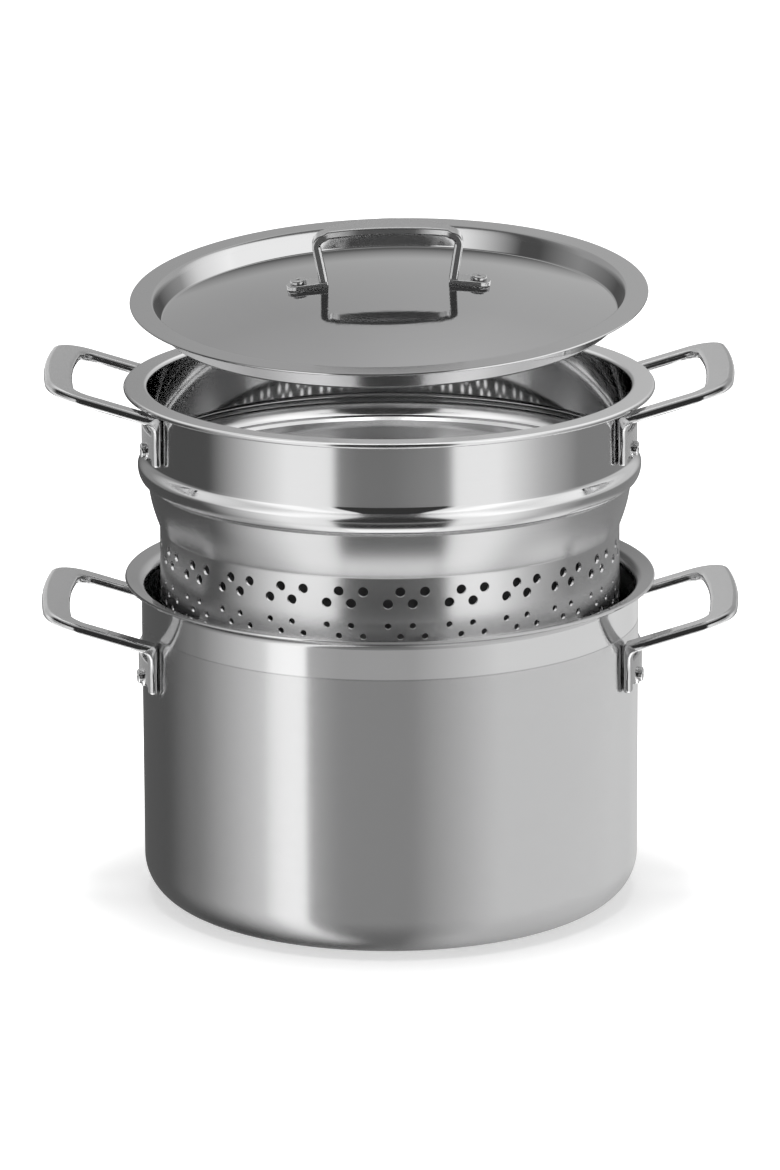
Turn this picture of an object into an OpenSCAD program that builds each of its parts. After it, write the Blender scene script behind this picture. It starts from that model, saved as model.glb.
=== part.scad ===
// Pasta pot: a deep pot, a perforated insert with a stepped rim, and a dished
// lid, shown lifted apart one above the other. All three are pressed steel
// with cast loop handles held on by rivets.

/* [Pot] */
// inside width of the pot at its wall
pot_inner_diameter = 240; // [180:1:320]
// height of the pot from its foot to the top of its lip
pot_height = 162; // [120:1:240]
// thickness of the pot's wall
pot_wall = 2.5; // [1.5:0.1:4]
// thickness of the pot's base
pot_base = 3; // [2:0.1:6]
// outside radius of the bend between wall and base
pot_corner_radius = 20; // [8:1:30]
// how far the pouring lip stands out past the wall
lip_reach = 8; // [4:0.5:12]
// slope of the pouring lip above level
lip_slope = 15; // [8:1:25]
// depth of the fine line turned into the wall, below the rim
line_drop = 21.3; // [14:0.1:32]

/* [Insert] */
// clearance between the insert's stepped shoulder and the pot's wall
shoulder_gap = 1.4; // [0.6:0.1:4]
// depth of the insert from its rim to its base
insert_depth = 180; // [110:1:220]
// thickness of the insert's sheet
insert_sheet = 1.2; // [0.8:0.1:2]
// how far the insert's rim stands out past its collar
insert_rim_width = 10.5; // [6:0.5:14]
// height of the plain collar above the bead
collar_height = 33.6; // [33.4:0.1:44]
// how far the bead swells out past the collar
bead_swell = 4; // [2:0.1:6]
// width between the pot's wall and the perforated wall
drain_gap = 7; // [5:0.5:14]
// width of the large holes
large_hole = 4.9; // [3:0.1:6]
// width of the small holes
small_hole = 3.1; // [2:0.1:5]
// number of hole groups around the wall
hole_groups = 24; // [12:2:24]
// number of small rows in each group
small_rows = 3; // [1:1:4]
// turn of the hole pattern from the front
hole_turn = 4; // [0:0.5:15]
// width of the holes in the base
base_hole = 5; // [3:0.1:6]

/* [Lid] */
// clearance between the lid's well and the insert's collar
lid_gap = 2.9; // [1:0.1:6]
// width of the lid's flat flange
lid_flange_width = 11; // [6:0.5:14]
// depth of the lid's well below its flange
lid_well_depth = 10.8; // [6:0.2:16]
// height of the dome above the bottom of the well
dome_rise = 16.7; // [8:0.1:26]
// thickness of the lid's sheet
lid_sheet = 1.2; // [0.8:0.1:2]

/* [Side handles] */
// how far a loop reaches out from the pot's wall
loop_reach = 49.6; // [40:0.5:65]
// width of a loop across its arms
loop_width = 106; // [88:1:120]
// slope of a loop above level
loop_slope = 17; // [5:1:25]
// width of a loop's arm
arm_width = 10; // [8:0.5:12]
// width of the grip across the loop
grip_width = 14; // [10:0.1:18]
// thickness of the arms and the grip
loop_thickness = 4.8; // [3:0.1:6]
// height of the arm's top below the rim on the pot
pot_loop_drop = 21; // [20:0.1:30]
// height of the arm's top below the rim on the insert
insert_loop_drop = 3.2; // [3:0.1:3.6]

/* [Lid handle] */
// width of the lid handle between the outsides of its legs at the top
bow_width = 73.4; // [56:0.2:90]
// height of the lid handle's corners above the flange
bow_height = 32; // [26:0.5:44]
// rise of the bar at its middle
bow_arch = 3.8; // [0:0.1:8]
// thickness of the bar and the legs
bow_thickness = 4; // [3:0.1:6]
// width of the bar at its middle
bar_width = 17; // [10:0.5:24]

/* [Rivets] */
// width of a side handle's rivet shank
rivet_shank = 4.8; // [4:0.1:6]
// width of a side handle's rivet head
rivet_head = 7.2; // [6.6:0.1:9]
// width of a lid rivet's head
lid_rivet_head = 8; // [6.6:0.1:10]

/* [How the pieces are set apart] */
// lift of the insert above its seat in the pot
insert_lift = 52.6; // [0:0.1:160]
// lift of the lid above its seat on the insert
lid_lift = 42.8; // [0:0.1:120]
// lean of the lid towards the front
lid_lean = 5; // [0:0.1:12]
// lean of the lid towards the left
lid_side_lean = 1.2; // [0:0.1:4]

/* [Hidden] */
$fn = 96;
steel = [0.72, 0.72, 0.73];
steel_bright = [0.8, 0.8, 0.81];

// Pot sizes that follow from those above
pot_inner_radius = pot_inner_diameter / 2;
pot_radius = pot_inner_radius + pot_wall;
lip_radius = pot_radius + lip_reach;
lip_sheet = 1.7;
lip_bend = 4;
line_width = 0.5;
line_depth = 0.25;

// Insert sizes that follow from those above
insert_turn_gap = 3;
collar_radius = pot_radius - insert_turn_gap;
insert_rim_radius = collar_radius + insert_rim_width;
bead_top = collar_height;
hem_radius = 1.2;
bead_widest = bead_top + 6.2;
crease_drop = bead_widest + 6.6;
crease_radius = collar_radius + 0.8;
bead_radius = collar_radius + bead_swell;
shoulder_radius = pot_inner_radius - shoulder_gap;
sieve_radius = pot_inner_radius - drain_gap;
shoulder_top = crease_drop + 1.6;
shoulder_drop = crease_drop + 23.6;
sieve_corner = 10;
seat_dip = 2.8;
insert_seat = pot_height - seat_dip + crease_drop;
insert_rim_z = insert_seat + insert_lift;

// Hole rows, measured down from the end of the shoulder
hole_pitch = 360 / hole_groups;
hole_step = hole_pitch * 0.4;
hole_shift = hole_pitch * 0.2;
row_one = shoulder_drop + 6.6;
large_row_pitch = 5.9;
row_three = row_one + 16.8;
small_row_pitch = 5.2;

// Lid sizes that follow from those above
lid_well_radius = collar_radius - insert_sheet - lid_gap;
lid_flange_radius = lid_well_radius + lid_flange_width;
lid_crease_radius = lid_well_radius - 4.4;
dome_radius = (pow(lid_crease_radius, 2) + pow(dome_rise, 2)) / (2 * dome_rise);
dome_top = dome_rise - lid_well_depth;
lid_z = insert_rim_z + lid_sheet + lid_lift;

// Side handle sizes that follow from those above
wall_gap = 0.12;
leg_gap = 0.4;
loop_edge = 1.5;
plate_sheet = 1.8;
leg_depth = 3.6;
leg_width = 6.5;
leg_drop = 28.2;
leg_half = 46;
plate_top_drop = 15.2;
rivet_drop = 25.4;
rivet_turn = 11;
ear_radius = 5.2;
top_bend = 2;
under_bend = 5;
corner_bend = 14;
grip_bow = 300;
bore_gap = 0.05;
rivet_head_height = 2;
dimple_radius = 1.2;
dimple_depth = 1.1;
rivet_dome = 1.7;

// Lid handle sizes that follow from those above
lug_sheet = 2.6;
lug_gap = 0.18;
lug_width = 11;
lug_reach = 16;
lug_rivet_reach = 10;
leg_lean = 3.2;
bow_bend = 5;
bow_leg_width = 9;
bow_foot = bow_width / 2 - bow_thickness / 2 - leg_lean;
lug_start = bow_foot - bow_thickness / 2;
lug_end = bow_foot + bow_thickness / 2 + lug_reach;
lid_rivet_radius = bow_foot + bow_thickness / 2 + lug_rivet_reach;
lid_rivet_tilt = asin(lid_rivet_radius / dome_radius);

// Points along an arc from one angle to another
function arc(cx, cy, r, a0, a1, n) = [for (i = [0 : n]) let (a = a0 + (a1 - a0) * i / n) [cx + r * cos(a), cy + r * sin(a)]];

// A rounded oblong section as points around its edge
function section(w, t, r) = let (c = min(r, w / 2 - 0.05, t / 2 - 0.05)) concat(
    arc(w / 2 - c, t / 2 - c, c, 0, 90, 3),
    arc(c - w / 2, t / 2 - c, c, 90, 180, 3),
    arc(c - w / 2, c - t / 2, c, 180, 270, 3),
    arc(w / 2 - c, c - t / 2, c, 270, 360, 3));

// A solid swept through stations, each [centre, across, through, width, thickness, edge radius]
module swept(stations) {
    n = 16;
    count = len(stations);
    points = [for (s = stations) for (p = section(s[3], s[4], s[5])) s[0] + s[1] * p[0] + s[2] * p[1]];
    sides = [for (i = [0 : count - 2]) for (j = [0 : n - 1]) let (k = (j + 1) % n)
        each [[i * n + j, i * n + k, (i + 1) * n + k], [i * n + j, (i + 1) * n + k, (i + 1) * n + j]]];
    first = [[for (j = [0 : n - 1]) n - 1 - j]];
    last = [[for (j = [0 : n - 1]) (count - 1) * n + j]];
    polyhedron(points = points, faces = concat(sides, first, last), convexity = 6);
}

// Outline of the pot in radius and height, from the foot up the outside and down the inside
function pot_outline() = let (
    out_x = pot_radius + lip_bend,
    lip_end = lip_radius - lip_sheet / 2,
    end_z = pot_height - lip_sheet / 2,
    run = lip_end - (pot_radius + lip_bend * (1 - sin(lip_slope))) - lip_sheet / 2 * sin(lip_slope),
    under_z = end_z - lip_sheet / 2 * cos(lip_slope) - run * tan(lip_slope) - lip_bend * cos(lip_slope),
    inner_bend = lip_bend + lip_sheet,
    inner_x = pot_inner_radius + inner_bend,
    inner_run = lip_end - (pot_inner_radius + inner_bend * (1 - sin(lip_slope))) + lip_sheet / 2 * sin(lip_slope),
    inner_z = end_z + lip_sheet / 2 * cos(lip_slope) - inner_run * tan(lip_slope) - inner_bend * cos(lip_slope),
    line_z = pot_height - line_drop)
    concat(
        [[0, 0]],
        arc(pot_radius - pot_corner_radius, pot_corner_radius, pot_corner_radius, 270, 360, 8),
        [[pot_radius, line_z - line_width / 2], [pot_radius - line_depth, line_z - line_width / 2],
            [pot_radius - line_depth, line_z + line_width / 2], [pot_radius, line_z + line_width / 2]],
        arc(out_x, under_z, lip_bend, 180, 90 + lip_slope, 6),
        arc(lip_end, end_z, lip_sheet / 2, lip_slope - 90, lip_slope + 90, 6),
        arc(inner_x, inner_z, inner_bend, 90 + lip_slope, 180, 6),
        arc(pot_radius - pot_corner_radius, pot_corner_radius, pot_corner_radius - pot_wall, 0, -70, 7),
        [[pot_radius - pot_corner_radius, pot_base], [0, pot_base]]);

// Outside of the insert in radius and drop below its rim, from the collar to the base
function insert_outside() = concat(
    [[collar_radius, insert_sheet + 0.6], [collar_radius, bead_top]],
    [for (i = [1 : 6]) let (f = i / 6) [collar_radius + bead_swell * (1 - cos(180 * f)) / 2, bead_top + (bead_widest - bead_top) * f]],
    [for (i = [1 : 6]) let (a = 90 * i / 6) [crease_radius + (bead_radius - crease_radius) * cos(a), bead_widest + (crease_drop - bead_widest) * sin(a)]],
    [for (i = [0 : 7]) let (f = i / 7) [shoulder_radius + (sieve_radius + 0.4 - shoulder_radius) * f + 0.8 * sin(180 * f),
        shoulder_top + (shoulder_drop - 0.8 - shoulder_top) * f]],
    [[sieve_radius, shoulder_drop], [sieve_radius, insert_depth - sieve_corner]],
    [for (i = [1 : 6]) let (a = 90 * i / 6) [sieve_radius - sieve_corner * (1 - cos(a)), insert_depth - sieve_corner + sieve_corner * sin(a)]]);

// Inside of the insert, one sheet inwards
function insert_inside() = concat(
    [[0, insert_depth - insert_sheet]],
    [for (i = [0 : 5]) let (a = 90 - 90 * i / 6) [sieve_radius - sieve_corner + (sieve_corner - insert_sheet) * cos(a), insert_depth - sieve_corner + (sieve_corner - insert_sheet) * sin(a)]],
    [[sieve_radius - insert_sheet, insert_depth - sieve_corner], [sieve_radius - insert_sheet, shoulder_drop - 0.3]],
    [for (i = [0 : 6]) let (f = 1 - i / 7) [shoulder_radius + (sieve_radius + 0.4 - shoulder_radius) * f + 0.8 * sin(180 * f) - insert_sheet,
        shoulder_top + (shoulder_drop - 0.8 - shoulder_top) * f]],
    [[shoulder_radius - insert_sheet, shoulder_top - 0.9], [crease_radius - insert_sheet, crease_drop - 1.3]],
    [for (i = [0 : 5]) let (a = 90 * (6 - i) / 6 - 12) [crease_radius + (bead_radius - crease_radius) * cos(a) - insert_sheet, bead_widest + (crease_drop - 1.3 - bead_widest) * sin(a)]],
    [for (i = [0 : 6]) let (f = 1 - i / 6) [collar_radius + bead_swell * (1 - cos(180 * f)) / 2 - insert_sheet, bead_top + (bead_widest - bead_top) * f]],
    [for (i = [0 : 4]) let (a = 180 - 90 * i / 4) [collar_radius + 0.6 + (insert_sheet + 0.6) * cos(a), insert_sheet + 0.6 - (insert_sheet + 0.6) * sin(a)]]);

// Rim of the insert, rolled under at its edge
function insert_rim() = concat(
    [for (a = [-90 : 22.5 : 0]) [insert_rim_radius - hem_radius * (1 - cos(a)), hem_radius * (1 + sin(a))]],
    [for (a = [0 : 30 : 150]) [insert_rim_radius - hem_radius * (1 - cos(a)), max(hem_radius, insert_sheet) + 0.2 + hem_radius * sin(a)]],
    [[insert_rim_radius - 2 * hem_radius - 0.2, insert_sheet]],
    [for (i = [0 : 3]) let (a = 90 + 90 * i / 4) [collar_radius + 0.6 + 0.6 * cos(a), insert_sheet + 0.6 - 0.6 * sin(a)]]);

module pot_body() {
    color(steel) difference() {
        rotate_extrude() polygon(pot_outline());
        for (side = [0, 180]) for (turn = [-rivet_turn, rivet_turn])
            rivet_bore(side + turn, pot_height - pot_loop_drop - rivet_drop, pot_inner_radius);
    }
}

// A round bore through a wall at one place around it
module rivet_bore(turn, z, radius) {
    rotate([0, 0, turn]) translate([radius - 6, 0, z]) rotate([0, 90, 0])
        cylinder(h = 16, r = rivet_shank / 2 + bore_gap, $fn = 32);
}

module insert_body() {
    color(steel) difference() {
        translate([0, 0, insert_rim_z]) mirror([0, 0, 1])
            rotate_extrude() polygon(concat(insert_rim(), insert_outside(), insert_inside()));
        for (side = [0, 180]) for (turn = [-rivet_turn, rivet_turn])
            rivet_bore(side + turn, insert_rim_z - insert_loop_drop - rivet_drop, collar_radius - insert_sheet);
        translate([0, 0, insert_rim_z]) wall_holes();
        translate([0, 0, insert_rim_z - insert_depth - 1]) base_holes();
    }
}

// One row of holes through the insert's wall, at two places in each group
module hole_row(drop, shift, width) {
    for (g = [0 : hole_groups - 1]) for (step = [0, 1])
        rotate([0, 0, -90 + hole_turn + g * hole_pitch + shift + step * hole_step])
            translate([sieve_radius - insert_sheet - 1, 0, -drop]) rotate([0, 90, 0])
                cylinder(h = insert_sheet + 2, d = width, $fn = 20);
}

module wall_holes() {
    hole_row(row_one, -hole_shift / 2, large_hole);
    hole_row(row_one + large_row_pitch, -1.5 * hole_shift, large_hole);
    for (row = [0 : small_rows - 1])
        hole_row(row_three + row * small_row_pitch, (row % 2 == 0 ? -1.5 : -0.5) * hole_shift, small_hole);
}

module base_holes() {
    for (ring = [1 : 4]) for (i = [0 : ring * 8 - 1])
        rotate([0, 0, (i + ring / 2) * 360 / (ring * 8)]) translate([ring * (sieve_radius - sieve_corner) / 4.7, 0, 0])
            cylinder(h = insert_sheet + 2, d = base_hole, $fn = 20);
}

// The lid in its own frame, with the top of its flange at zero
function lid_outline() = let (
    edge = asin(lid_crease_radius / dome_radius),
    top_centre = dome_top - dome_radius)
    concat(
        [for (i = [0 : 16]) let (a = edge * i / 16) [dome_radius * sin(a), top_centre + dome_radius * cos(a)]],
        [[lid_crease_radius + 0.5, -lid_well_depth + 0.5], [lid_well_radius - 1.6, -3.2]],
        [for (i = [1 : 5]) let (f = i / 5) [lid_well_radius - 1.6 + 2.2 * f, -3.2 + 3.2 * (1 - pow(1 - f, 2))]],
        [[lid_flange_radius - 0.4, 0], [lid_flange_radius, -0.4], [lid_flange_radius, 0.4 - lid_sheet], [lid_flange_radius - 0.4, -lid_sheet]],
        [for (i = [5 : -1 : 1]) let (f = i / 5) [lid_well_radius - 0.4 + 1.8 * f, -4.2 + (4.2 - lid_sheet) * (1 - pow(1 - f, 2))]],
        [[lid_well_radius - 0.5, -4.4], [lid_crease_radius + 1.2, -lid_well_depth - 0.4], [lid_crease_radius + 0.4, -lid_well_depth - lid_sheet]],
        [for (i = [16 : -1 : 0]) let (a = edge * i / 16) [(dome_radius - lid_sheet) * sin(a), top_centre + (dome_radius - lid_sheet) * cos(a)]]);

module lid_place() {
    translate([0, 0, lid_z]) rotate([0, -lid_side_lean, 0]) rotate([lid_lean, 0, 0]) children();
}

// Along the normal of the dome at a lid rivet, with zero on the dome's skin
module lid_rivet_place(side) {
    rotate([0, 0, side > 0 ? 0 : 180]) translate([0, 0, dome_top - dome_radius]) rotate([0, lid_rivet_tilt, 0])
        translate([0, 0, dome_radius]) children();
}

module lid_body() {
    color(steel) lid_place() difference() {
        rotate_extrude() polygon(lid_outline());
        for (side = [-1, 1]) lid_rivet_place(side) translate([0, 0, -6]) cylinder(h = 16, r = rivet_shank / 2 + bore_gap, $fn = 32);
    }
}

// Stations of the lid handle's leg and bar from one foot to the middle of the bar
function bow_half(s) = let (
    half = bow_width / 2 - bow_thickness / 2,
    foot_x = bow_foot,
    foot_z = dome_top - dome_radius + (dome_radius + lug_gap + lug_sheet * 0.45 - foot_x * sin(lid_rivet_tilt)) / cos(lid_rivet_tilt),
    lean = atan(leg_lean / (bow_height - foot_z)),
    bar_z = bow_height - bow_thickness / 2,
    arch_radius = (pow(half, 2) + pow(bow_arch, 2)) / (2 * max(bow_arch, 0.01)),
    rise = asin(min(1, (half - bow_bend) / arch_radius)),
    turn_x = half - bow_bend,
    turn_z = bar_z - bow_bend)
    concat(
        [[[s * foot_x, 0, foot_z], [0, -1, 0], [s, 0, 0], bow_leg_width, bow_thickness, 1]],
        [[[s * (foot_x + leg_lean * 0.5), 0, (foot_z + turn_z) / 2], [0, -1, 0], [s * cos(lean), 0, -sin(lean)], bow_leg_width, bow_thickness, 1]],
        [for (i = [0 : 5]) let (a = -lean + (90 + lean - rise) * i / 5)
            [[s * (turn_x + bow_bend * cos(a)), 0, turn_z + bow_bend * sin(a)], [0, -1, 0], [s * cos(a), 0, sin(a)],
                bow_leg_width + 0.4 * i / 5, bow_thickness, 1]],
        [for (i = [1 : 5]) let (f = i / 6, x = (turn_x + bow_bend * sin(rise)) * (1 - f), a = asin(x / arch_radius))
            [[s * x, 0, bar_z + bow_arch - arch_radius * (1 - cos(a))], [0, -1, 0], [s * sin(a), 0, cos(a)],
                bow_leg_width + 0.4 + (bar_width - bow_leg_width - 0.4) * sin(90 * f), bow_thickness, 1]]);

module lid_handle() {
    left = bow_half(-1);
    right = bow_half(1);
    middle = [[[0, 0, bow_height - bow_thickness / 2 + bow_arch], [0, -1, 0], [0, 0, 1], bar_width, bow_thickness, 1]];
    color(steel_bright) lid_place() difference() {
        union() {
            swept(concat(left, middle, [for (i = [len(right) - 1 : -1 : 0]) right[i]]));
            for (side = [-1, 1]) lid_rivet_place(side) lug();
        }
        for (side = [-1, 1]) lid_rivet_place(side) translate([0, 0, -2]) cylinder(h = 10, r = rivet_shank / 2 + bore_gap, $fn = 32);
    }
}

// A flat foot with a rounded end, on the dome's skin
module lug() {
    inner = lid_rivet_radius - lug_start;
    outer = lug_end - lid_rivet_radius;
    translate([0, 0, lug_gap]) linear_extrude(height = lug_sheet) union() {
        translate([-inner, -lug_width / 2]) square([inner + outer - lug_width / 2, lug_width]);
        translate([outer - lug_width / 2, 0]) circle(d = lug_width, $fn = 48);
    }
}

module lid_rivet(side) {
    color(steel_bright) lid_place() lid_rivet_place(side)
        rivet_shape(lid_rivet_head / 2, lug_gap + lug_sheet + 0.02, -lid_sheet - 0.12);
}

// A rivet along its own axis: a flat head with a dimple on top and a domed head below
module rivet_shape(head, top, bottom) {
    rotate_extrude() polygon(concat(
        [[0, top + rivet_head_height - dimple_depth], [dimple_radius * 0.5, top + rivet_head_height - dimple_depth],
            [dimple_radius, top + rivet_head_height], [head - 0.7, top + rivet_head_height], [head, top + rivet_head_height - 0.7],
            [head, top], [rivet_shank / 2, top], [rivet_shank / 2, bottom], [head - 0.3, bottom]],
        [for (i = [1 : 5]) let (a = 90 * i / 6) [(head - 0.3) * cos(a), bottom - rivet_dome * sin(a)]],
        [[0, bottom - rivet_dome]]));
}

// A rivet through a wall at one place around it
module wall_rivet(turn, z, radius, wall) {
    color(steel_bright) rotate([0, 0, turn]) translate([radius, 0, z]) rotate([0, 90, 0])
        rivet_shape(rivet_head / 2, wall_gap + plate_sheet + 0.02, -wall - 0.1);
}

// Stations of one side of a loop, from the bottom of its leg to the middle of the grip
function loop_half(s, radius, top) = let (
    half = loop_width / 2 - arm_width / 2,
    leg_r = radius + leg_gap,
    leg_turn = asin(leg_half / (leg_r + leg_depth / 2)),
    leg_x = leg_r * cos(leg_turn),
    across = 90 - loop_slope,
    step = under_bend - top_bend,
    a_end_x = leg_x + top_bend * (1 - cos(across)),
    z_a = top - (radius + 2 - a_end_x) * tan(loop_slope) - top_bend * sin(across),
    z_b = z_a - (loop_thickness - sin(loop_slope) * (leg_depth + step * (1 - sin(loop_slope))) + step * pow(cos(loop_slope), 2)) / cos(loop_slope),
    leg_z = top - leg_drop,
    out = [cos(loop_slope), 0, sin(loop_slope)],
    up = [-sin(loop_slope), 0, cos(loop_slope)],
    start = [leg_x + leg_depth + under_bend, s * half, top + (leg_x + leg_depth + under_bend - radius - 2) * tan(loop_slope)] - up * (loop_thickness / 2),
    reach = (loop_reach + radius - start[0]) / cos(loop_slope) - loop_thickness / 2 * tan(loop_slope),
    centre_v = half - corner_bend,
    tip_turn = asin(centre_v / (grip_bow - corner_bend)),
    centre_u = reach - grip_width / 2 - grip_bow + (grip_bow - corner_bend) * cos(tip_turn),
    foot = [leg_r + leg_depth / 2, leg_turn])
    concat(
        [for (p = [[0, 0.75, 0.75], [0.9, 1, 1]])
            [[foot[0] * cos(foot[1]), s * foot[0] * sin(foot[1]), leg_z + p[0]], [-sin(s * foot[1]), cos(foot[1]), 0],
                [cos(foot[1]), s * sin(foot[1]), 0], leg_width * p[1], leg_depth * p[2], 1]],
        [for (i = [0 : 5]) let (a = across * i / 5, f = i / 5, turn = s * leg_turn * (1 - f),
            pa = [leg_x + top_bend * (1 - cos(a)), z_a + top_bend * sin(a)],
            pb = [leg_x + leg_depth + under_bend * (1 - cos(a)), z_b + under_bend * sin(a)],
            mid = (pa + pb) / 2, d = pb - pa, thick = norm(d), dir = d / thick)
            [[mid[0] + (foot[0] * cos(foot[1]) - leg_x - leg_depth / 2) * (1 - f), s * (leg_half + (half - leg_half) * f), mid[1]], [-sin(turn), cos(turn), 0],
                [dir[0] * cos(turn), dir[0] * sin(turn), dir[1]], leg_width + (arm_width - leg_width) * f, thick, 1]],
        [for (i = [0 : 1]) [start + out * (centre_u * (0.3 + 0.7 * i)), [0, 1, 0], -up, arm_width, loop_thickness, loop_edge]],
        [for (i = [1 : 6]) let (a = 90 - (90 - tip_turn) * i / 6, f = i / 6)
            [start + out * (centre_u + corner_bend * cos(a)) + [0, s * (centre_v + corner_bend * sin(a) - half), 0],
                [0, sin(a), 0] + out * (s * cos(a)), -up, arm_width + (grip_width - arm_width) * f, loop_thickness, loop_edge]],
        [for (i = [1 : 2]) let (a = tip_turn * (1 - i / 3))
            [start + out * (centre_u + grip_bow * cos(a) - (grip_bow - corner_bend) * cos(tip_turn)) + [0, s * (grip_bow * sin(a) - half), 0],
                [0, sin(a), 0] + out * (s * cos(a)), -up, grip_width, loop_thickness, loop_edge]]);

// Outline of the plate between the legs, with a rounded ear around each rivet
module plate_outline(radius, top, half) {
    translate([-half, top - leg_drop + 1.2]) square([2 * half, leg_drop - plate_top_drop - 1.2]);
    for (side = [-1, 1]) translate([side * radius * sin(rivet_turn), top - rivet_drop]) circle(r = ear_radius, $fn = 48);
}

// One cast side handle on the +X side of a wall
module side_handle(radius, top) {
    front = loop_half(-1, radius, top);
    rear = loop_half(1, radius, top);
    z_rivet = top - rivet_drop;
    difference() {
        union() {
            swept(concat(front, [for (i = [len(rear) - 1 : -1 : 0]) [rear[i][0], -rear[i][1], rear[i][2], rear[i][3], rear[i][4], rear[i][5]]]));
            intersection() {
                translate([0, 0, top - leg_drop - 6]) rotate_extrude()
                    translate([radius + wall_gap, 0]) square([plate_sheet, leg_drop + 6]);
                translate([radius / 2, 0, 0]) rotate([90, 0, 90]) linear_extrude(height = radius) plate_outline(radius, top, leg_half);
            }
        }
        for (turn = [-rivet_turn, rivet_turn]) rivet_bore(turn, z_rivet, radius);
    }
}

module pot_handle_left() {
    color(steel_bright) rotate([0, 0, 180]) side_handle(pot_radius, pot_height - pot_loop_drop);
}
module pot_handle_right() {
    color(steel_bright) side_handle(pot_radius, pot_height - pot_loop_drop);
}
module insert_handle_left() {
    color(steel_bright) rotate([0, 0, 180]) side_handle(collar_radius, insert_rim_z - insert_loop_drop);
}
module insert_handle_right() {
    color(steel_bright) side_handle(collar_radius, insert_rim_z - insert_loop_drop);
}

module pot_rivet(turn) {
    wall_rivet(turn, pot_height - pot_loop_drop - rivet_drop, pot_radius, pot_wall);
}
module insert_rivet(turn) {
    wall_rivet(turn, insert_rim_z - insert_loop_drop - rivet_drop, collar_radius, insert_sheet);
}
module pot_rivet_left_front() { pot_rivet(180 + rivet_turn); }
module pot_rivet_left_rear() { pot_rivet(180 - rivet_turn); }
module pot_rivet_right_front() { pot_rivet(-rivet_turn); }
module pot_rivet_right_rear() { pot_rivet(rivet_turn); }
module insert_rivet_left_front() { insert_rivet(180 + rivet_turn); }
module insert_rivet_left_rear() { insert_rivet(180 - rivet_turn); }
module insert_rivet_right_front() { insert_rivet(-rivet_turn); }
module insert_rivet_right_rear() { insert_rivet(rivet_turn); }
module lid_rivet_left() { lid_rivet(-1); }
module lid_rivet_right() { lid_rivet(1); }

pot_body();
pot_handle_left();
pot_handle_right();
pot_rivet_left_front();
pot_rivet_left_rear();
pot_rivet_right_front();
pot_rivet_right_rear();
insert_body();
insert_handle_left();
insert_handle_right();
insert_rivet_left_front();
insert_rivet_left_rear();
insert_rivet_right_front();
insert_rivet_right_rear();
lid_body();
lid_handle();
lid_rivet_left();
lid_rivet_right();
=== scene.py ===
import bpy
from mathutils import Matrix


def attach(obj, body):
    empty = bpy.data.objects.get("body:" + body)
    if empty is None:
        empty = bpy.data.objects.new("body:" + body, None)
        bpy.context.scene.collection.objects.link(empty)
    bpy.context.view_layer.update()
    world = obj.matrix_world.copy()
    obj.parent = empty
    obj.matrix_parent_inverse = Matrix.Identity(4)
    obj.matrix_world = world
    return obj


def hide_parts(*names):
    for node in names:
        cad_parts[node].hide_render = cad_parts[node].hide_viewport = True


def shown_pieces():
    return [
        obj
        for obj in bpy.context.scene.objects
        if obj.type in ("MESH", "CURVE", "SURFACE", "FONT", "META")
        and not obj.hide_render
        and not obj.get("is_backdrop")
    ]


bl_info = {
    "name": "Pasta Pot",
    "version": (1, 0, 0),
    "blender": (4, 5, 0),
    "location": "View3D > Sidebar > Pasta Pot",
    "description": "Dresses a pasta pot, its perforated insert and its lid in brushed and polished steel",
    "category": "Object",
}

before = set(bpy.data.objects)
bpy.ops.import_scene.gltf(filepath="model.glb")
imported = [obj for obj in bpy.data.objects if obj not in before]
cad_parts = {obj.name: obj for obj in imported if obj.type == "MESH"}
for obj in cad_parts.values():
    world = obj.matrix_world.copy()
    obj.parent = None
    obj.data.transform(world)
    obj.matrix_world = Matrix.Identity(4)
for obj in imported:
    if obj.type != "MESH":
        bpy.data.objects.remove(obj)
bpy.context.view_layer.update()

import math
from functools import partial
from types import SimpleNamespace

import bmesh
import bpy
import numpy as np
from bpy.props import FloatProperty, FloatVectorProperty, IntProperty, PointerProperty
from mathutils import Matrix, Vector, geometry

MM = 0.001
TURNS = 360  # points around a turned shape
SHARP = 38.0  # bend in degrees from which an edge is shaded sharp
WELD = 2e-6  # metres within which points of the sieve become one
RIVET_TURN, RIVET_DROP = 11, 25.4  # a side rivet's place beside a handle's middle and below the arm's top
PLATE_GAP, PLATE_SHEET = 0.12, 1.8  # the plate between the legs of a side handle
LID_CREASE = 4.4  # from the well's wall in to the edge of the dome
SATIN_IN, SATIN_LOW = 1.7, -4.3  # how far in and down the satin finish of the lid's flange goes


# ---- Sizes that a user may change ----

def length_prop(name, description, default):
    return FloatProperty(name=name, description=description, default=default, unit="LENGTH", precision=4)


def angle_prop(name, description, degrees):
    return FloatProperty(name=name, description=description, default=math.radians(degrees), unit="ROTATION")


def colour_prop(name, description, default):
    return FloatVectorProperty(name=name, description=description, default=default, subtype="COLOR", min=0, max=1)


class PotSizes(bpy.types.PropertyGroup):
    inner_radius: length_prop("Inner radius", "Inside radius of the pot's wall", 0.120)
    height: length_prop("Height", "Height from the foot to the top of the lip", 0.162)
    wall: length_prop("Wall", "Thickness of the wall", 0.0025)
    base: length_prop("Base", "Thickness of the base", 0.003)
    corner: length_prop("Corner", "Outside radius of the bend between wall and base", 0.020)
    lip_reach: length_prop("Lip reach", "How far the pouring lip stands out past the wall", 0.00795)
    lip_slope: angle_prop("Lip slope", "Slope of the pouring lip above level", 15)
    line_drop: length_prop("Line drop", "Depth of the fine turned line below the rim", 0.0213)


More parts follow.
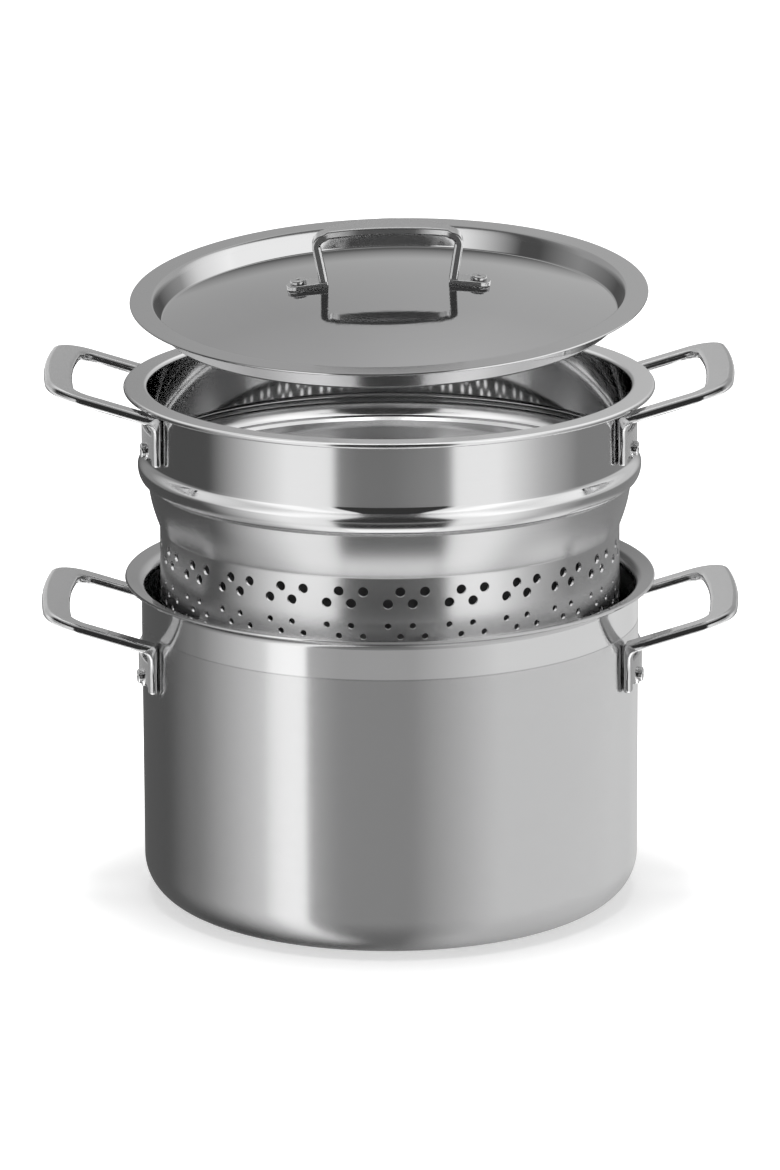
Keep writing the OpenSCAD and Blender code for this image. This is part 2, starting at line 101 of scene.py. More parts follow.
class InsertSizes(bpy.types.PropertyGroup):
    collar_radius: length_prop("Collar radius", "Radius of the plain collar", 0.1195)
    rim_z: length_prop("Rim height", "Height of the rim above the pot's foot", 0.2582)
    depth: length_prop("Depth", "Depth from the rim to the base", 0.180)
    sheet: length_prop("Sheet", "Thickness of the pressed sheet", 0.0012)
    rim_width: length_prop("Rim width", "How far the rim stands out past the collar", 0.0105)
    sieve_radius: length_prop("Sieve radius", "Radius of the perforated wall", 0.113)
    large_hole: length_prop("Large hole", "Width of the large holes", 0.0049)
    small_hole: length_prop("Small hole", "Width of the small holes", 0.0031)
    base_hole: length_prop("Base hole", "Width of the holes in the base", 0.005)
    hole_groups: IntProperty(name="Hole groups", description="Number of hole groups around the wall",
                             default=24, min=12, max=24)
    hole_turn: angle_prop("Hole turn", "Turn of the hole pattern from the front", 4)


class LidSizes(bpy.types.PropertyGroup):
    flange_z: length_prop("Flange height", "Height of the flange above the pot's foot", 0.3022)
    well_radius: length_prop("Well radius", "Radius of the well inside the flange", 0.1154)
    flange_width: length_prop("Flange width", "Width of the flat flange", 0.011)
    well_depth: length_prop("Well depth", "Depth of the well below the flange", 0.0108)
    dome_rise: length_prop("Dome rise", "Height of the dome above the bottom of the well", 0.0167)
    sheet: length_prop("Sheet", "Thickness of the lid's sheet", 0.0012)
    lean: angle_prop("Lean", "Lean of the lid towards the front", 5)
    side_lean: angle_prop("Side lean", "Lean of the lid towards the left", 1.2)


class LoopSizes(bpy.types.PropertyGroup):
    reach: length_prop("Reach", "How far a loop reaches out from the wall", 0.0494)
    width: length_prop("Width", "Width of a loop across its arms", 0.106)
    leg_spacing: length_prop("Leg spacing", "Distance between the middles of the two legs", 0.092)
    slope: angle_prop("Slope", "Slope of a loop above level", 17)
    arm_width: length_prop("Arm width", "Width of a loop's arm", 0.010)
    grip_width: length_prop("Grip width", "Width of the grip across the loop", 0.014)
    thickness: length_prop("Thickness", "Thickness of the arms and the grip", 0.0048)
    pot_drop: length_prop("Drop on the pot", "Height of the arm's top below the pot's rim", 0.021)
    insert_drop: length_prop("Drop on the insert", "Height of the arm's top below the insert's rim", 0.0032)


class BowSizes(bpy.types.PropertyGroup):
    width: length_prop("Width", "Width of the lid handle between the outsides of its legs", 0.0734)
    height: length_prop("Height", "Height of the handle's corners above the flange", 0.03198)
    arch: length_prop("Arch", "Rise of the bar at its middle", 0.0038)
    thickness: length_prop("Thickness", "Thickness of the bar and the legs", 0.004)
    bar_width: length_prop("Bar width", "Width of the bar at its middle", 0.017)


class SteelLook(bpy.types.PropertyGroup):
    steel: colour_prop("Steel", "Colour of the bare steel", (0.62, 0.62, 0.622))
    cast_steel: colour_prop("Cast steel", "Colour of the cast handles", (0.60, 0.60, 0.602))
    floor: colour_prop("Floor", "Colour of the floor", (0.9, 0.9, 0.9))


class PastaPot(bpy.types.PropertyGroup):
    pot: PointerProperty(type=PotSizes, name="Pot", description="Sizes of the pot")
    insert: PointerProperty(type=InsertSizes, name="Insert", description="Sizes of the insert")
    lid: PointerProperty(type=LidSizes, name="Lid", description="Sizes of the lid")
    loop: PointerProperty(type=LoopSizes, name="Side handles", description="Sizes of the side handles")
    bow: PointerProperty(type=BowSizes, name="Lid handle", description="Sizes of the lid handle")
    look: PointerProperty(type=SteelLook, name="Colours", description="Colours of the steel and the floor")


def own_sizes(group):
    """The properties of a group that a user may change."""
    return [prop for prop in group.bl_rna.properties if prop.identifier not in ("rna_type", "name")]


def measures(name):
    """One group of sizes, with lengths in millimetres and angles in degrees."""
    group = getattr(bpy.context.scene.pasta_pot, name)
    found = {}
    for prop in own_sizes(group):
        value = getattr(group, prop.identifier)
        if prop.type == "FLOAT" and prop.unit == "LENGTH":
            value = value / MM
        elif prop.type == "FLOAT" and prop.unit == "ROTATION":
            value = math.degrees(value)
        found[prop.identifier] = value
    return SimpleNamespace(**found)


# ---- Shapes in plain numbers, in millimetres and degrees ----

def sind(a):
    return math.sin(math.radians(a))


def cosd(a):
    return math.cos(math.radians(a))


def tand(a):
    return math.tan(math.radians(a))


def asind(v):
    return math.degrees(math.asin(v))


def arc(cx, cy, r, a0, a1, n):
    """Points on a round bend from one angle to the other, in n steps."""
    return [(cx + r * cosd(a0 + (a1 - a0) * i / n), cy + r * sind(a0 + (a1 - a0) * i / n)) for i in range(n + 1)]


def firmed(outline, gap=0.35):
    """The outline with points close to both ends of each long straight run, which keeps its shading flat."""
    out = [outline[0]]
    for a, b in zip(outline, outline[1:]):
        run = math.dist(a, b)
        if run > 6 * gap:
            out += [(a[0] + (b[0] - a[0]) * f, a[1] + (b[1] - a[1]) * f) for f in (gap / run, 1 - gap / run)]
        out.append(b)
    return out


def pot_outline(p):
    """Radius and height, from the foot up the outside, over the lip and down the inside."""
    lip_sheet, bend, middle = 1.7, 4.0, 60.0
    groove_half, groove_flat, groove_depth = 0.3, 0.16, 0.2
    slope = p.lip_slope
    radius = p.inner_radius + p.wall
    lip_end, end_z = radius + p.lip_reach - lip_sheet / 2, p.height - lip_sheet / 2
    half_sin, half_cos = lip_sheet / 2 * sind(slope), lip_sheet / 2 * cosd(slope)
    run = lip_end - (radius + bend * (1 - sind(slope))) - half_sin
    under_z = end_z - half_cos - run * tand(slope) - bend * cosd(slope)
    inner_bend = bend + lip_sheet
    inner_run = lip_end - (p.inner_radius + inner_bend * (1 - sind(slope))) + half_sin
    inner_z = end_z + half_cos - inner_run * tand(slope) - inner_bend * cosd(slope)
    line = p.height - p.line_drop
    centre = radius - p.corner
    return firmed(
        [(0.0, 0.0), (middle, 0.0)]
        + arc(centre, p.corner, p.corner, 270, 360, 20)
        + [(radius, line - groove_half), (radius - groove_depth, line - groove_flat),
           (radius - groove_depth, line + groove_flat), (radius, line + groove_half)]
        + arc(radius + bend, under_z, bend, 180, 90 + slope, 12)
        + arc(lip_end, end_z, lip_sheet / 2, slope - 90, slope + 90, 14)
        + arc(p.inner_radius + inner_bend, inner_z, inner_bend, 90 + slope, 180, 14)
        + arc(centre, p.corner, p.corner - p.wall, 0, -70, 14)
        + [(centre, p.base), (middle, p.base), (0.0, p.base)])


def insert_parts(p):
    """The insert's outlines in radius and drop from the top of the sieve up and over the rim, and its main drops."""
    collar, sheet, sieve = p.collar_radius, p.sheet, p.sieve_radius
    bead_top, widest, crease, swell = 33.6, 39.8, 46.4, 4.0
    crease_r, bead_r, shoulder_r = collar + 0.8, collar + swell, 118.6
    shoulder_top, shoulder_drop = crease + 1.6, crease + 23.6
    shoulder_fall, shoulder_bulge, sieve_step, step_drop = 0.28, 0.8, 0.4, 0.8
    hem, hem_lap, neck = 1.2, 0.2, 0.6

    def skin(inset):
        """From the top of the bead down to the sieve."""
        points = [(collar + swell * (1 - cosd(180 * i / 12)) / 2 - inset, bead_top + (widest - bead_top) * i / 12)
                  for i in range(13)]
        points += [(crease_r + (bead_r - crease_r) * cosd(9 * i) - inset, widest + (crease - widest) * sind(9 * i))
                   for i in range(1, 11)]
        points += [(shoulder_r + (sieve + sieve_step - shoulder_r) * i / 12
                    + shoulder_bulge * sind(180 * i / 12) - inset,
                    shoulder_top + (shoulder_drop - step_drop - shoulder_top) * i / 12) for i in range(13)]
        return points + [(sieve - inset, shoulder_drop)]

    def sheet_middle(drop):
        """Radius of the middle of the sheet at a drop below the rim."""
        if drop < bead_top:
            outer = collar
        elif drop < crease:
            outer = collar + swell / 2
        else:
            outer = max(sieve, shoulder_r - (drop - shoulder_top) * shoulder_fall)
        return outer - sheet / 2

    rim = collar + p.rim_width
    top = ([(rim - 2 * hem - hem_lap, sheet)]
           + arc(rim - hem, max(hem, sheet) + hem_lap, hem, 150, 0, 10)
           + arc(rim - hem, hem, hem, 0, -90, 6)
           + arc(collar + neck, sheet + neck, sheet + neck, -90, -180, 9))
    under = arc(collar + neck, sheet + neck, neck, 180, 270, 6)
    return SimpleNamespace(skin=skin, rim_top=top, rim_under=under, shoulder_drop=shoulder_drop, widest=widest,
                           sheet_middle=sheet_middle)


def dome_of(p):
    """Radius of the lid's dome and the height of its centre."""
    radius = ((p.well_radius - LID_CREASE) ** 2 + p.dome_rise ** 2) / (2 * p.dome_rise)
    return radius, p.dome_rise - p.well_depth - radius


def lid_outline(p):
    """Radius and height of the lid's closed outline, with the top of its flange at zero."""
    dome, centre = dome_of(p)
    crease, well, low = p.well_radius - LID_CREASE, p.well_radius, -p.well_depth
    edge, edge_r = asind(crease / dome), p.sheet / 2
    flange = well + p.flange_width
    fillet_r, fillet_z, fillet_run = well - 1.6, -3.2, 2.2
    under_r, under_z, under_run = well - 0.4, -4.2, 1.8

    def ease(f):
        return 1 - (1 - f) ** 2

    skin = arc(0, centre, dome, 90, 90 - edge, 40)
    skin += [(crease + 0.15, low + 0.1), (crease + 0.4, low + 0.32), (crease + 0.6, low + 0.75), (fillet_r, fillet_z)]
    skin += [(fillet_r + fillet_run * i / 14, fillet_z - fillet_z * ease(i / 14)) for i in range(1, 15)]
    skin += arc(flange - edge_r, -edge_r, edge_r, 90, -90, 12)
    skin += [(under_r + under_run * i / 10, under_z - (under_z + p.sheet) * ease(i / 10)) for i in range(10, 0, -1)]
    skin += [(well - 0.5, -4.4), (crease + 1.2, low - 0.4), (crease + 0.9, low - 0.9), (crease + 0.4, low - p.sheet)]
    skin += arc(0, centre, dome - p.sheet, 90 - edge, 90, 30)
    return firmed(skin[::-1])


def turned_by(degrees, axis):
    return Matrix.Rotation(math.radians(degrees), 4, axis)


def lid_place():
    """Where the lid hangs: its own frame has the top of its flange at zero."""
    p = measures("lid")
    return Matrix.Translation((0, 0, p.flange_z)) @ turned_by(-p.side_lean, "Y") @ turned_by(p.lean, "X")


# ---- Meshes ----

def between(low, high):
    """Faces between two equally long closed rows of points."""
    n = len(low)
    return [[low[j], low[(j + 1) % n], high[(j + 1) % n], high[j]] for j in range(n)]


def turned(outline, turns=TURNS, finish=None):
    """A surface turned about the upright axis: points, faces, and one finish for each face."""
    points, faces, finishes, rings = [], [], [], []
    for r, z in outline:
        if r < 1e-6:  # on the axis
            rings.append([len(points)] * turns)
            points.append((0.0, 0.0, z))
            continue
        rings.append(list(range(len(points), len(points) + turns)))
        points += [(r * math.cos(2 * math.pi * j / turns), r * math.sin(2 * math.pi * j / turns), z)
                   for j in range(turns)]
    for i, (low, high) in enumerate(zip(rings, rings[1:])):
        shade = finish(outline[i], outline[i + 1]) if finish else 0
        made = [list(dict.fromkeys(face)) for face in between(low, high)]
        made = [face for face in made if len(face) > 2]
        faces += made
        finishes += [shade] * len(made)
    return points, faces, finishes


def linked(name, data):
    """A new object in the scene."""
    obj = bpy.data.objects.new(name, data)
    bpy.context.scene.collection.objects.link(obj)
    return obj


def make_piece(name, points, faces, materials, finishes=None, place=None, sharp=SHARP, merge=0.0):
    """A smooth-shaded mesh object at the origin, from millimetres."""
    mesh = bpy.data.meshes.new(name)
    mesh.from_pydata([tuple(c * MM for c in p) for p in points], [], faces)
    if finishes is not None:
        mesh.polygons.foreach_set("material_index", finishes)
    if place is not None:
        placed = place.copy()
        placed.translation *= MM
        mesh.transform(placed)
    if merge:
        bm = bmesh.new()
        bm.from_mesh(mesh)
        bmesh.ops.remove_doubles(bm, verts=bm.verts, dist=merge)
        bmesh.ops.recalc_face_normals(bm, faces=bm.faces)
        bm.to_mesh(mesh)
        bm.free()
    mesh.validate()
    shade_smooth(mesh, sharp)
    for m in materials:
        mesh.materials.append(m)
    return linked(name, mesh)


def shade_smooth(mesh, sharp=SHARP):
    mesh.polygons.foreach_set("use_smooth", [True] * len(mesh.polygons))
    mesh.set_sharp_from_angle(angle=math.radians(sharp))


def outward(obj):
    """Turn all faces of a closed piece outwards."""
    bm = bmesh.new()
    bm.from_mesh(obj.data)
    bmesh.ops.recalc_face_normals(bm, faces=bm.faces)
    bm.to_mesh(obj.data)
    bm.free()


def joined(*parts):
    """Several lots of points, faces and finishes as one."""
    points, faces, finishes = [], [], []
    for more_points, more_faces, more_finishes in parts:
        start = len(points)
        points += more_points
        faces += [[start + v for v in f] for f in more_faces]
        finishes += more_finishes
    return points, faces, finishes


def section(w, t, r, steps):
    """A rounded oblong around its edge, with points close to the ends of each flat."""
    thin, share, ease = 0.05, 0.3, 0.12
    c = max(thin, min(r, w / 2 - thin, t / 2 - thin))
    x, y = w / 2 - c, t / 2 - c
    soft = min(ease, x * share, y * share)
    out = []
    for sx, sy, a0 in ((1, 1, 0), (-1, 1, 90), (-1, -1, 180), (1, -1, 270)):
        bend = arc(sx * x, sy * y, c, a0, a0 + 90, steps)
        first = (bend[0][0] + sind(a0) * soft, bend[0][1] - cosd(a0) * soft)
        last = (bend[-1][0] - cosd(a0) * soft, bend[-1][1] - sind(a0) * soft)
        out += [first] + bend + [last]
    return out


def tube(rows):
    """A closed solid through equally long closed rows of points."""
    n = len(rows[0])
    rings = [range(i * n, (i + 1) * n) for i in range(len(rows))]
    faces = [face for a, b in zip(rings, rings[1:]) for face in between(a, b)]
    faces += [list(rings[0])[::-1], list(rings[-1])]
    return [point for row in rows for point in row], faces, [0] * len(faces)


def swept(stations, steps=6):
    """A solid through stations of centre, across, through, width, thickness and edge radius."""
    rows = []
    for centre, across, through, w, t, r in stations:
        centre, across, through = Vector(centre), Vector(across), Vector(through)
        rows.append([tuple(centre + across * x + through * y) for x, y in section(w, t, r, steps)])
    return tube(rows)


def loop_half(s, p, radius, top):
    """Stations of one side of a loop, from the bottom of its leg to the middle of the grip."""
    leg_gap, leg_depth, leg_width, leg_drop, edge = 0.4, 3.6, 6.5, 28.2, 1.9
    top_bend, under_bend, corner_bend, grip_bow = 2.0, 5.0, 14.0, 300.0
    level_r = radius + 2.0  # where the arm's top has its named height
    slope = p.slope
    half, leg_half = p.width / 2 - p.arm_width / 2, p.leg_spacing / 2
    leg_r = radius + leg_gap
    foot_r = leg_r + leg_depth / 2
    leg_turn = asind(leg_half / foot_r)
    leg_x = leg_r * cosd(leg_turn)
    across = 90 - slope
    step = under_bend - top_bend
    top_end_x = leg_x + top_bend * (1 - cosd(across))
    top_z = top - (level_r - top_end_x) * tand(slope) - top_bend * sind(across)
    under_z = top_z - (p.thickness - sind(slope) * (leg_depth + step * (1 - sind(slope)))
                       + step * cosd(slope) ** 2) / cosd(slope)
    out, up = Vector((cosd(slope), 0, sind(slope))), Vector((-sind(slope), 0, cosd(slope)))
    elbow = leg_x + leg_depth + under_bend
    start = Vector((elbow, s * half, top + (elbow - level_r) * tand(slope))) - up * (p.thickness / 2)
    reach = (p.reach + radius - start.x) / cosd(slope) - p.thickness / 2 * tand(slope)
    centre_v, bow_r = half - corner_bend, grip_bow - corner_bend
    tip = asind(centre_v / bow_r)
    centre_u = reach - p.grip_width / 2 - grip_bow + bow_r * cosd(tip)

    def arm(u, v, a, width):
        """A station at u along and v across the sloping plane, with its outer side at angle a."""
        side = Vector((0, sind(a), 0)) + out * (s * cosd(a))
        return start + out * u + Vector((0, s * v, 0)), side, -up, width, p.thickness, edge

    stations = []
    for rise, shrink in ((0, 0.7), (0.25, 0.86), (0.6, 0.96), (1.1, 1.0), (6.0, 1.0)):
        stations.append(((foot_r * cosd(leg_turn), s * foot_r * sind(leg_turn), top - leg_drop + rise),
                         (-sind(s * leg_turn), cosd(leg_turn), 0), (cosd(leg_turn), s * sind(leg_turn), 0),
                         leg_width * shrink, leg_depth * shrink, edge * shrink))
    for i in range(17):
        f = i / 16
        a, turn = across * f, s * leg_turn * (1 - f)
        near = (leg_x + top_bend * (1 - cosd(a)), top_z + top_bend * sind(a))
        far = (leg_x + leg_depth + under_bend * (1 - cosd(a)), under_z + under_bend * sind(a))
        thick = math.dist(near, far)
        lean = ((far[0] - near[0]) / thick, (far[1] - near[1]) / thick)
        shift = (foot_r * cosd(leg_turn) - leg_x - leg_depth / 2) * (1 - f)
        stations.append((((near[0] + far[0]) / 2 + shift, s * (leg_half + (half - leg_half) * f),
                          (near[1] + far[1]) / 2),
                         (-sind(turn), cosd(turn), 0), (lean[0] * cosd(turn), lean[0] * sind(turn), lean[1]),
                         leg_width + (p.arm_width - leg_width) * f, thick, edge))
    stations += [arm(centre_u * f, 0, 90, p.arm_width) for f in (0.08, 0.3, 0.6, 0.9)]
    for i in range(25):
        f = i / 24
        a = 90 - (90 - tip) * f
        stations.append(arm(centre_u + corner_bend * cosd(a), centre_v + corner_bend * sind(a) - half, a,
                            p.arm_width + (p.grip_width - p.arm_width) * f))
    for i in range(1, 6):
        a = tip * (1 - i / 6)
        stations.append(arm(centre_u + grip_bow * cosd(a) - bow_r * cosd(tip), grip_bow * sind(a) - half, a,
                            p.grip_width))
    return stations


def ear_plate(radius, top, half):
    """The thin plate between the legs, wrapped round the wall, with a rounded ear below each rivet."""
    ear, low_drop, top_drop, soft = 5.2, 27.0, 15.2, 0.35
    ear_y = radius * sind(RIVET_TURN)
    reach = math.sqrt(ear ** 2 - (RIVET_DROP - low_drop) ** 2)
    across = sorted({round(s * (ear_y + reach * cosd(a)), 4) for s in (-1, 1) for a in range(0, 181, 9)}
                    | {round(-half + 2 * half * i / 24, 4) for i in range(25)})
    columns = []
    for y in across:
        low = -low_drop
        if abs(abs(y) - ear_y) < reach:
            low = -RIVET_DROP - math.sqrt(max(0.0, ear ** 2 - (abs(y) - ear_y) ** 2))
        rows = [(0.0, low + soft), (0.0, -top_drop - soft), (soft, -top_drop), (PLATE_SHEET - soft, -top_drop),
                (PLATE_SHEET, -top_drop - soft), (PLATE_SHEET, low + soft), (PLATE_SHEET - soft, low), (soft, low)]
        columns.append([(math.sqrt((radius + PLATE_GAP + out) ** 2 - y * y), y, top + drop) for out, drop in rows])
    return tube(columns)


def side_loop(name, node, radius, top, turn, material):
    """One cast side handle: the loop with its two legs, and the plate between them."""
    p = measures("loop")
    front, rear = loop_half(-1, p, radius, top), loop_half(1, p, radius, top)
    back = [(c, tuple(-v for v in a), t, w, d, r) for c, a, t, w, d, r in reversed(rear)]
    points, faces, _ = joined(swept(front + back), ear_plate(radius, top, p.leg_spacing / 2))
    obj = make_piece(name, points, faces, [material], place=turned_by(turn, "Z"))
    outward(obj)
    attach(obj, "root")
    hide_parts(node)
    return obj


# ---- Nodes ----

def add_node(tree, kind, feeds=None, **settings):
    """A new node with its settings; feeds gives a socket or a plain value for an input's name or number."""
    node = tree.nodes.new(kind)
    for key, value in settings.items():
        setattr(node, key, value)
    for key, value in (feeds or {}).items():
        if isinstance(value, bpy.types.NodeSocket):
            tree.links.new(value, node.inputs[key])
        else:
            node.inputs[key].default_value = value
    return node


def object_place(tree):
    return tree.nodes.new("ShaderNodeTexCoord").outputs["Object"]


def math_node(tree, operation, *values, clamp=False):
    """A math node fed by sockets or plain numbers; gives its output."""
    return add_node(tree, "ShaderNodeMath", dict(enumerate(values)), operation=operation, use_clamp=clamp).outputs[0]


def geometry_tree(name, inputs):
    """A geometry node group with named inputs: the tree, its start's outputs and the inputs' identifiers."""
    tree = bpy.data.node_groups.new(name, "GeometryNodeTree")
    tree.interface.new_socket("Geometry", in_out="INPUT", socket_type="NodeSocketGeometry")
    sockets = [tree.interface.new_socket(label, in_out="INPUT", socket_type="NodeSocket" + kind)
               for label, kind in inputs.items()]
    tree.interface.new_socket("Geometry", in_out="OUTPUT", socket_type="NodeSocketGeometry")
    return tree, tree.nodes.new("NodeGroupInput").outputs, [socket.identifier for socket in sockets]


def repeat_round_tree():
    """Geometry nodes that repeat a sector around the upright axis and weld it."""
    tree, start, identifiers = geometry_tree("repeat_round_the_axis", {
        "Groups": "Int", "First turn": "Float", "Weld": "Float", "Finish": "Material"})
    line = add_node(tree, "GeometryNodePoints", {"Count": start["Groups"]})
    share = math_node(tree, "DIVIDE", tree.nodes.new("GeometryNodeInputIndex").outputs[0], start["Groups"])
    turn = math_node(tree, "MULTIPLY_ADD", share, 2 * math.pi, start["First turn"])
    angle = add_node(tree, "ShaderNodeCombineXYZ", {"Z": turn})
    copies = add_node(tree, "GeometryNodeInstanceOnPoints", {
        "Points": line.outputs[0], "Instance": start["Geometry"], "Rotation": angle.outputs[0]})
    real = add_node(tree, "GeometryNodeRealizeInstances", {0: copies.outputs[0]})
    welded = add_node(tree, "GeometryNodeMergeByDistance", {"Geometry": real.outputs[0], "Distance": start["Weld"]})
    coat = add_node(tree, "GeometryNodeSetMaterial", {"Geometry": welded.outputs[0], "Material": start["Finish"]})
    add_node(tree, "NodeGroupOutput", {0: coat.outputs[0]})
    return tree, identifiers


def rivets_tree():
    """Geometry nodes that set a copy of one rivet on each point, turned as the point says."""
    tree, start, identifiers = geometry_tree("rivets_on_points", {"Rivet": "Object", "Finish": "Material"})
    cloud = add_node(tree, "GeometryNodeMeshToPoints", {"Mesh": start["Geometry"]})
    shape = add_node(tree, "GeometryNodeObjectInfo", {"Object": start["Rivet"]})
    facing = add_node(tree, "GeometryNodeInputNamedAttribute", {"Name": "facing"}, data_type="FLOAT_VECTOR")
    copies = add_node(tree, "GeometryNodeInstanceOnPoints", {
        "Points": cloud.outputs[0], "Instance": shape.outputs["Geometry"], "Rotation": facing.outputs["Attribute"]})
    real = add_node(tree, "GeometryNodeRealizeInstances", {0: copies.outputs[0]})
    coat = add_node(tree, "GeometryNodeSetMaterial", {"Geometry": real.outputs[0], "Material": start["Finish"]})
    add_node(tree, "NodeGroupOutput", {0: coat.outputs[0]})
    return tree, identifiers


def run_nodes(obj, tree, identifiers, values, name):
    """The object after its geometry nodes, as a plain mesh object; the object with the modifier goes."""
    modifier = obj.modifiers.new(tree.name, "NODES")
    modifier.node_group = tree
    for identifier, value in zip(identifiers, values):
        modifier[identifier] = value
    graph = bpy.context.evaluated_depsgraph_get()
    mesh = bpy.data.meshes.new_from_object(obj.evaluated_get(graph))
    mesh.name = name
    bpy.data.objects.remove(obj)
    return linked(name, mesh)


# ---- The perforated insert ----

def sieve_sector(p, rows):
    """One group of holes as a sheet with both skins, on the wall's radius; the angle runs either side of zero."""
    columns, cells = 5, 3  # columns of half a hole's pitch, and mesh cells along one of them
    pitch = 360 / p.hole_groups
    column = pitch / columns
    collar_ring = 1.16  # a ring of points round each hole, as a share of its radius
    skins = ((p.sieve_radius, 1), (p.sieve_radius - p.sheet, -1))
    points, faces = [], []

    def point(radius, angle, drop):
        points.append((radius * cosd(angle), radius * sind(angle), -drop))
        return len(points) - 1

    def plain_cell(left, right, top, bottom):
        across = round((right - left) * cells / column)
        for radius, way in skins:
            for i in range(across):
                for j in range(cells):
                    a0, a1 = (left + (right - left) * k / across for k in (i, i + 1))
                    d0, d1 = (top + (bottom - top) * k / cells for k in (j, j + 1))
                    quad = [point(radius, a, d) for a, d in ((a0, d1), (a1, d1), (a1, d0), (a0, d0))]
                    faces.append(quad[::way])

    def holed_cell(left, right, top, bottom, hole):
        across = round((right - left) * cells / column)
        middle, level = (left + right) / 2, (top + bottom) / 2
        edge = ([(middle + (right - left) * (0.5 - i / across), top) for i in range(across)]
                + [(left, top + (bottom - top) * i / cells) for i in range(cells)]
                + [(left + (right - left) * i / across, bottom) for i in range(across)]
                + [(right, bottom + (top - bottom) * i / cells) for i in range(cells)])
        count = len(edge)
        # the hole's points start at its upper right corner, as the cell's edge does
        first = 90 - 360 * (across / 2) / count
        turn = math.degrees(1 / p.sieve_radius)
        rims = []
        for radius, way in skins:
            rings = [[point(radius, a, d) for a, d in edge]]
            for half in (hole / 2 * collar_ring, hole / 2):
                rings.append([point(radius, middle + turn * half * cosd(first + 360 * i / count),
                                    level - half * sind(first + 360 * i / count)) for i in range(count)])
            faces.extend(face[::way] for a, b in zip(rings, rings[1:]) for face in between(a, b))
            rims.append(rings[-1])
        faces.extend(between(*rims))

    for top, bottom, hole, lefts in rows:
        at = 0
        while at < columns:
            wide = 2 if at in lefts else 1
            left, right = -pitch / 2 + at * column, -pitch / 2 + (at + wide) * column
            if wide == 2:
                holed_cell(left, right, top, bottom, hole)
            else:
                plain_cell(left, right, top, bottom)
            at += wide
    return points, faces


def sieve_base(p, flat):
    """The flat base as two skins with rings of holes through them: points, faces and finishes."""
    rings, first_count, margin, around = 4, 8, 0.7, 20  # the margin is a share of the step between rings
    inside, snap = 0.985, 0.01
    ring_step, hole_r, depth = flat / (rings + margin), p.base_hole / 2, p.depth
    holes = []
    for ring in range(1, rings + 1):
        count = ring * first_count
        turns = [(i + ring / 2) * 360 / count for i in range(count)]
        holes += [(ring * ring_step * cosd(turn), ring * ring_step * sind(turn)) for turn in turns]
    outline = [Vector((flat * cosd(j), flat * sind(j))) for j in range(TURNS)]
    edges = [(j, (j + 1) % TURNS) for j in range(TURNS)]
    for cx, cy in holes:
        start = len(outline)
        outline += [Vector((cx + hole_r * cosd(360 * j / around), cy + hole_r * sind(360 * j / around)))
                    for j in range(around)]
        edges += [(start + j, start + (j + 1) % around) for j in range(around)]
    verts, _, tris, _, _, _ = geometry.delaunay_2d_cdt(outline, edges, [], 1, 1e-6)
    centres = np.array(holes)
    kept = []
    for tri in tris:
        x, y = np.mean([verts[v][:] for v in tri], axis=0)
        if np.min(np.hypot(centres[:, 0] - x, centres[:, 1] - y)) >= hole_r * inside:
            kept.append(list(tri))
    count = len(verts)
    points = [(v[0], v[1], z) for z in (-depth, p.sheet - depth) for v in verts]
    faces = [t[::-1] for t in kept] + [[v + count for v in t] for t in kept]
    # the upper skin takes finish 3, darkened steel that paints shade in the insert's depth
    finishes = [0] * len(kept) + [3] * len(kept)
    for cx, cy in holes:
        near = [i for i, v in enumerate(verts) if math.hypot(v[0] - cx, v[1] - cy) < hole_r + snap]
        near.sort(key=lambda i: math.atan2(verts[i][1] - cy, verts[i][0] - cx))
        faces += [[a, b, b + count, a + count] for a, b in zip(near, near[1:] + near[:1])]
    return points, faces, finishes + [0] * (len(faces) - len(finishes))


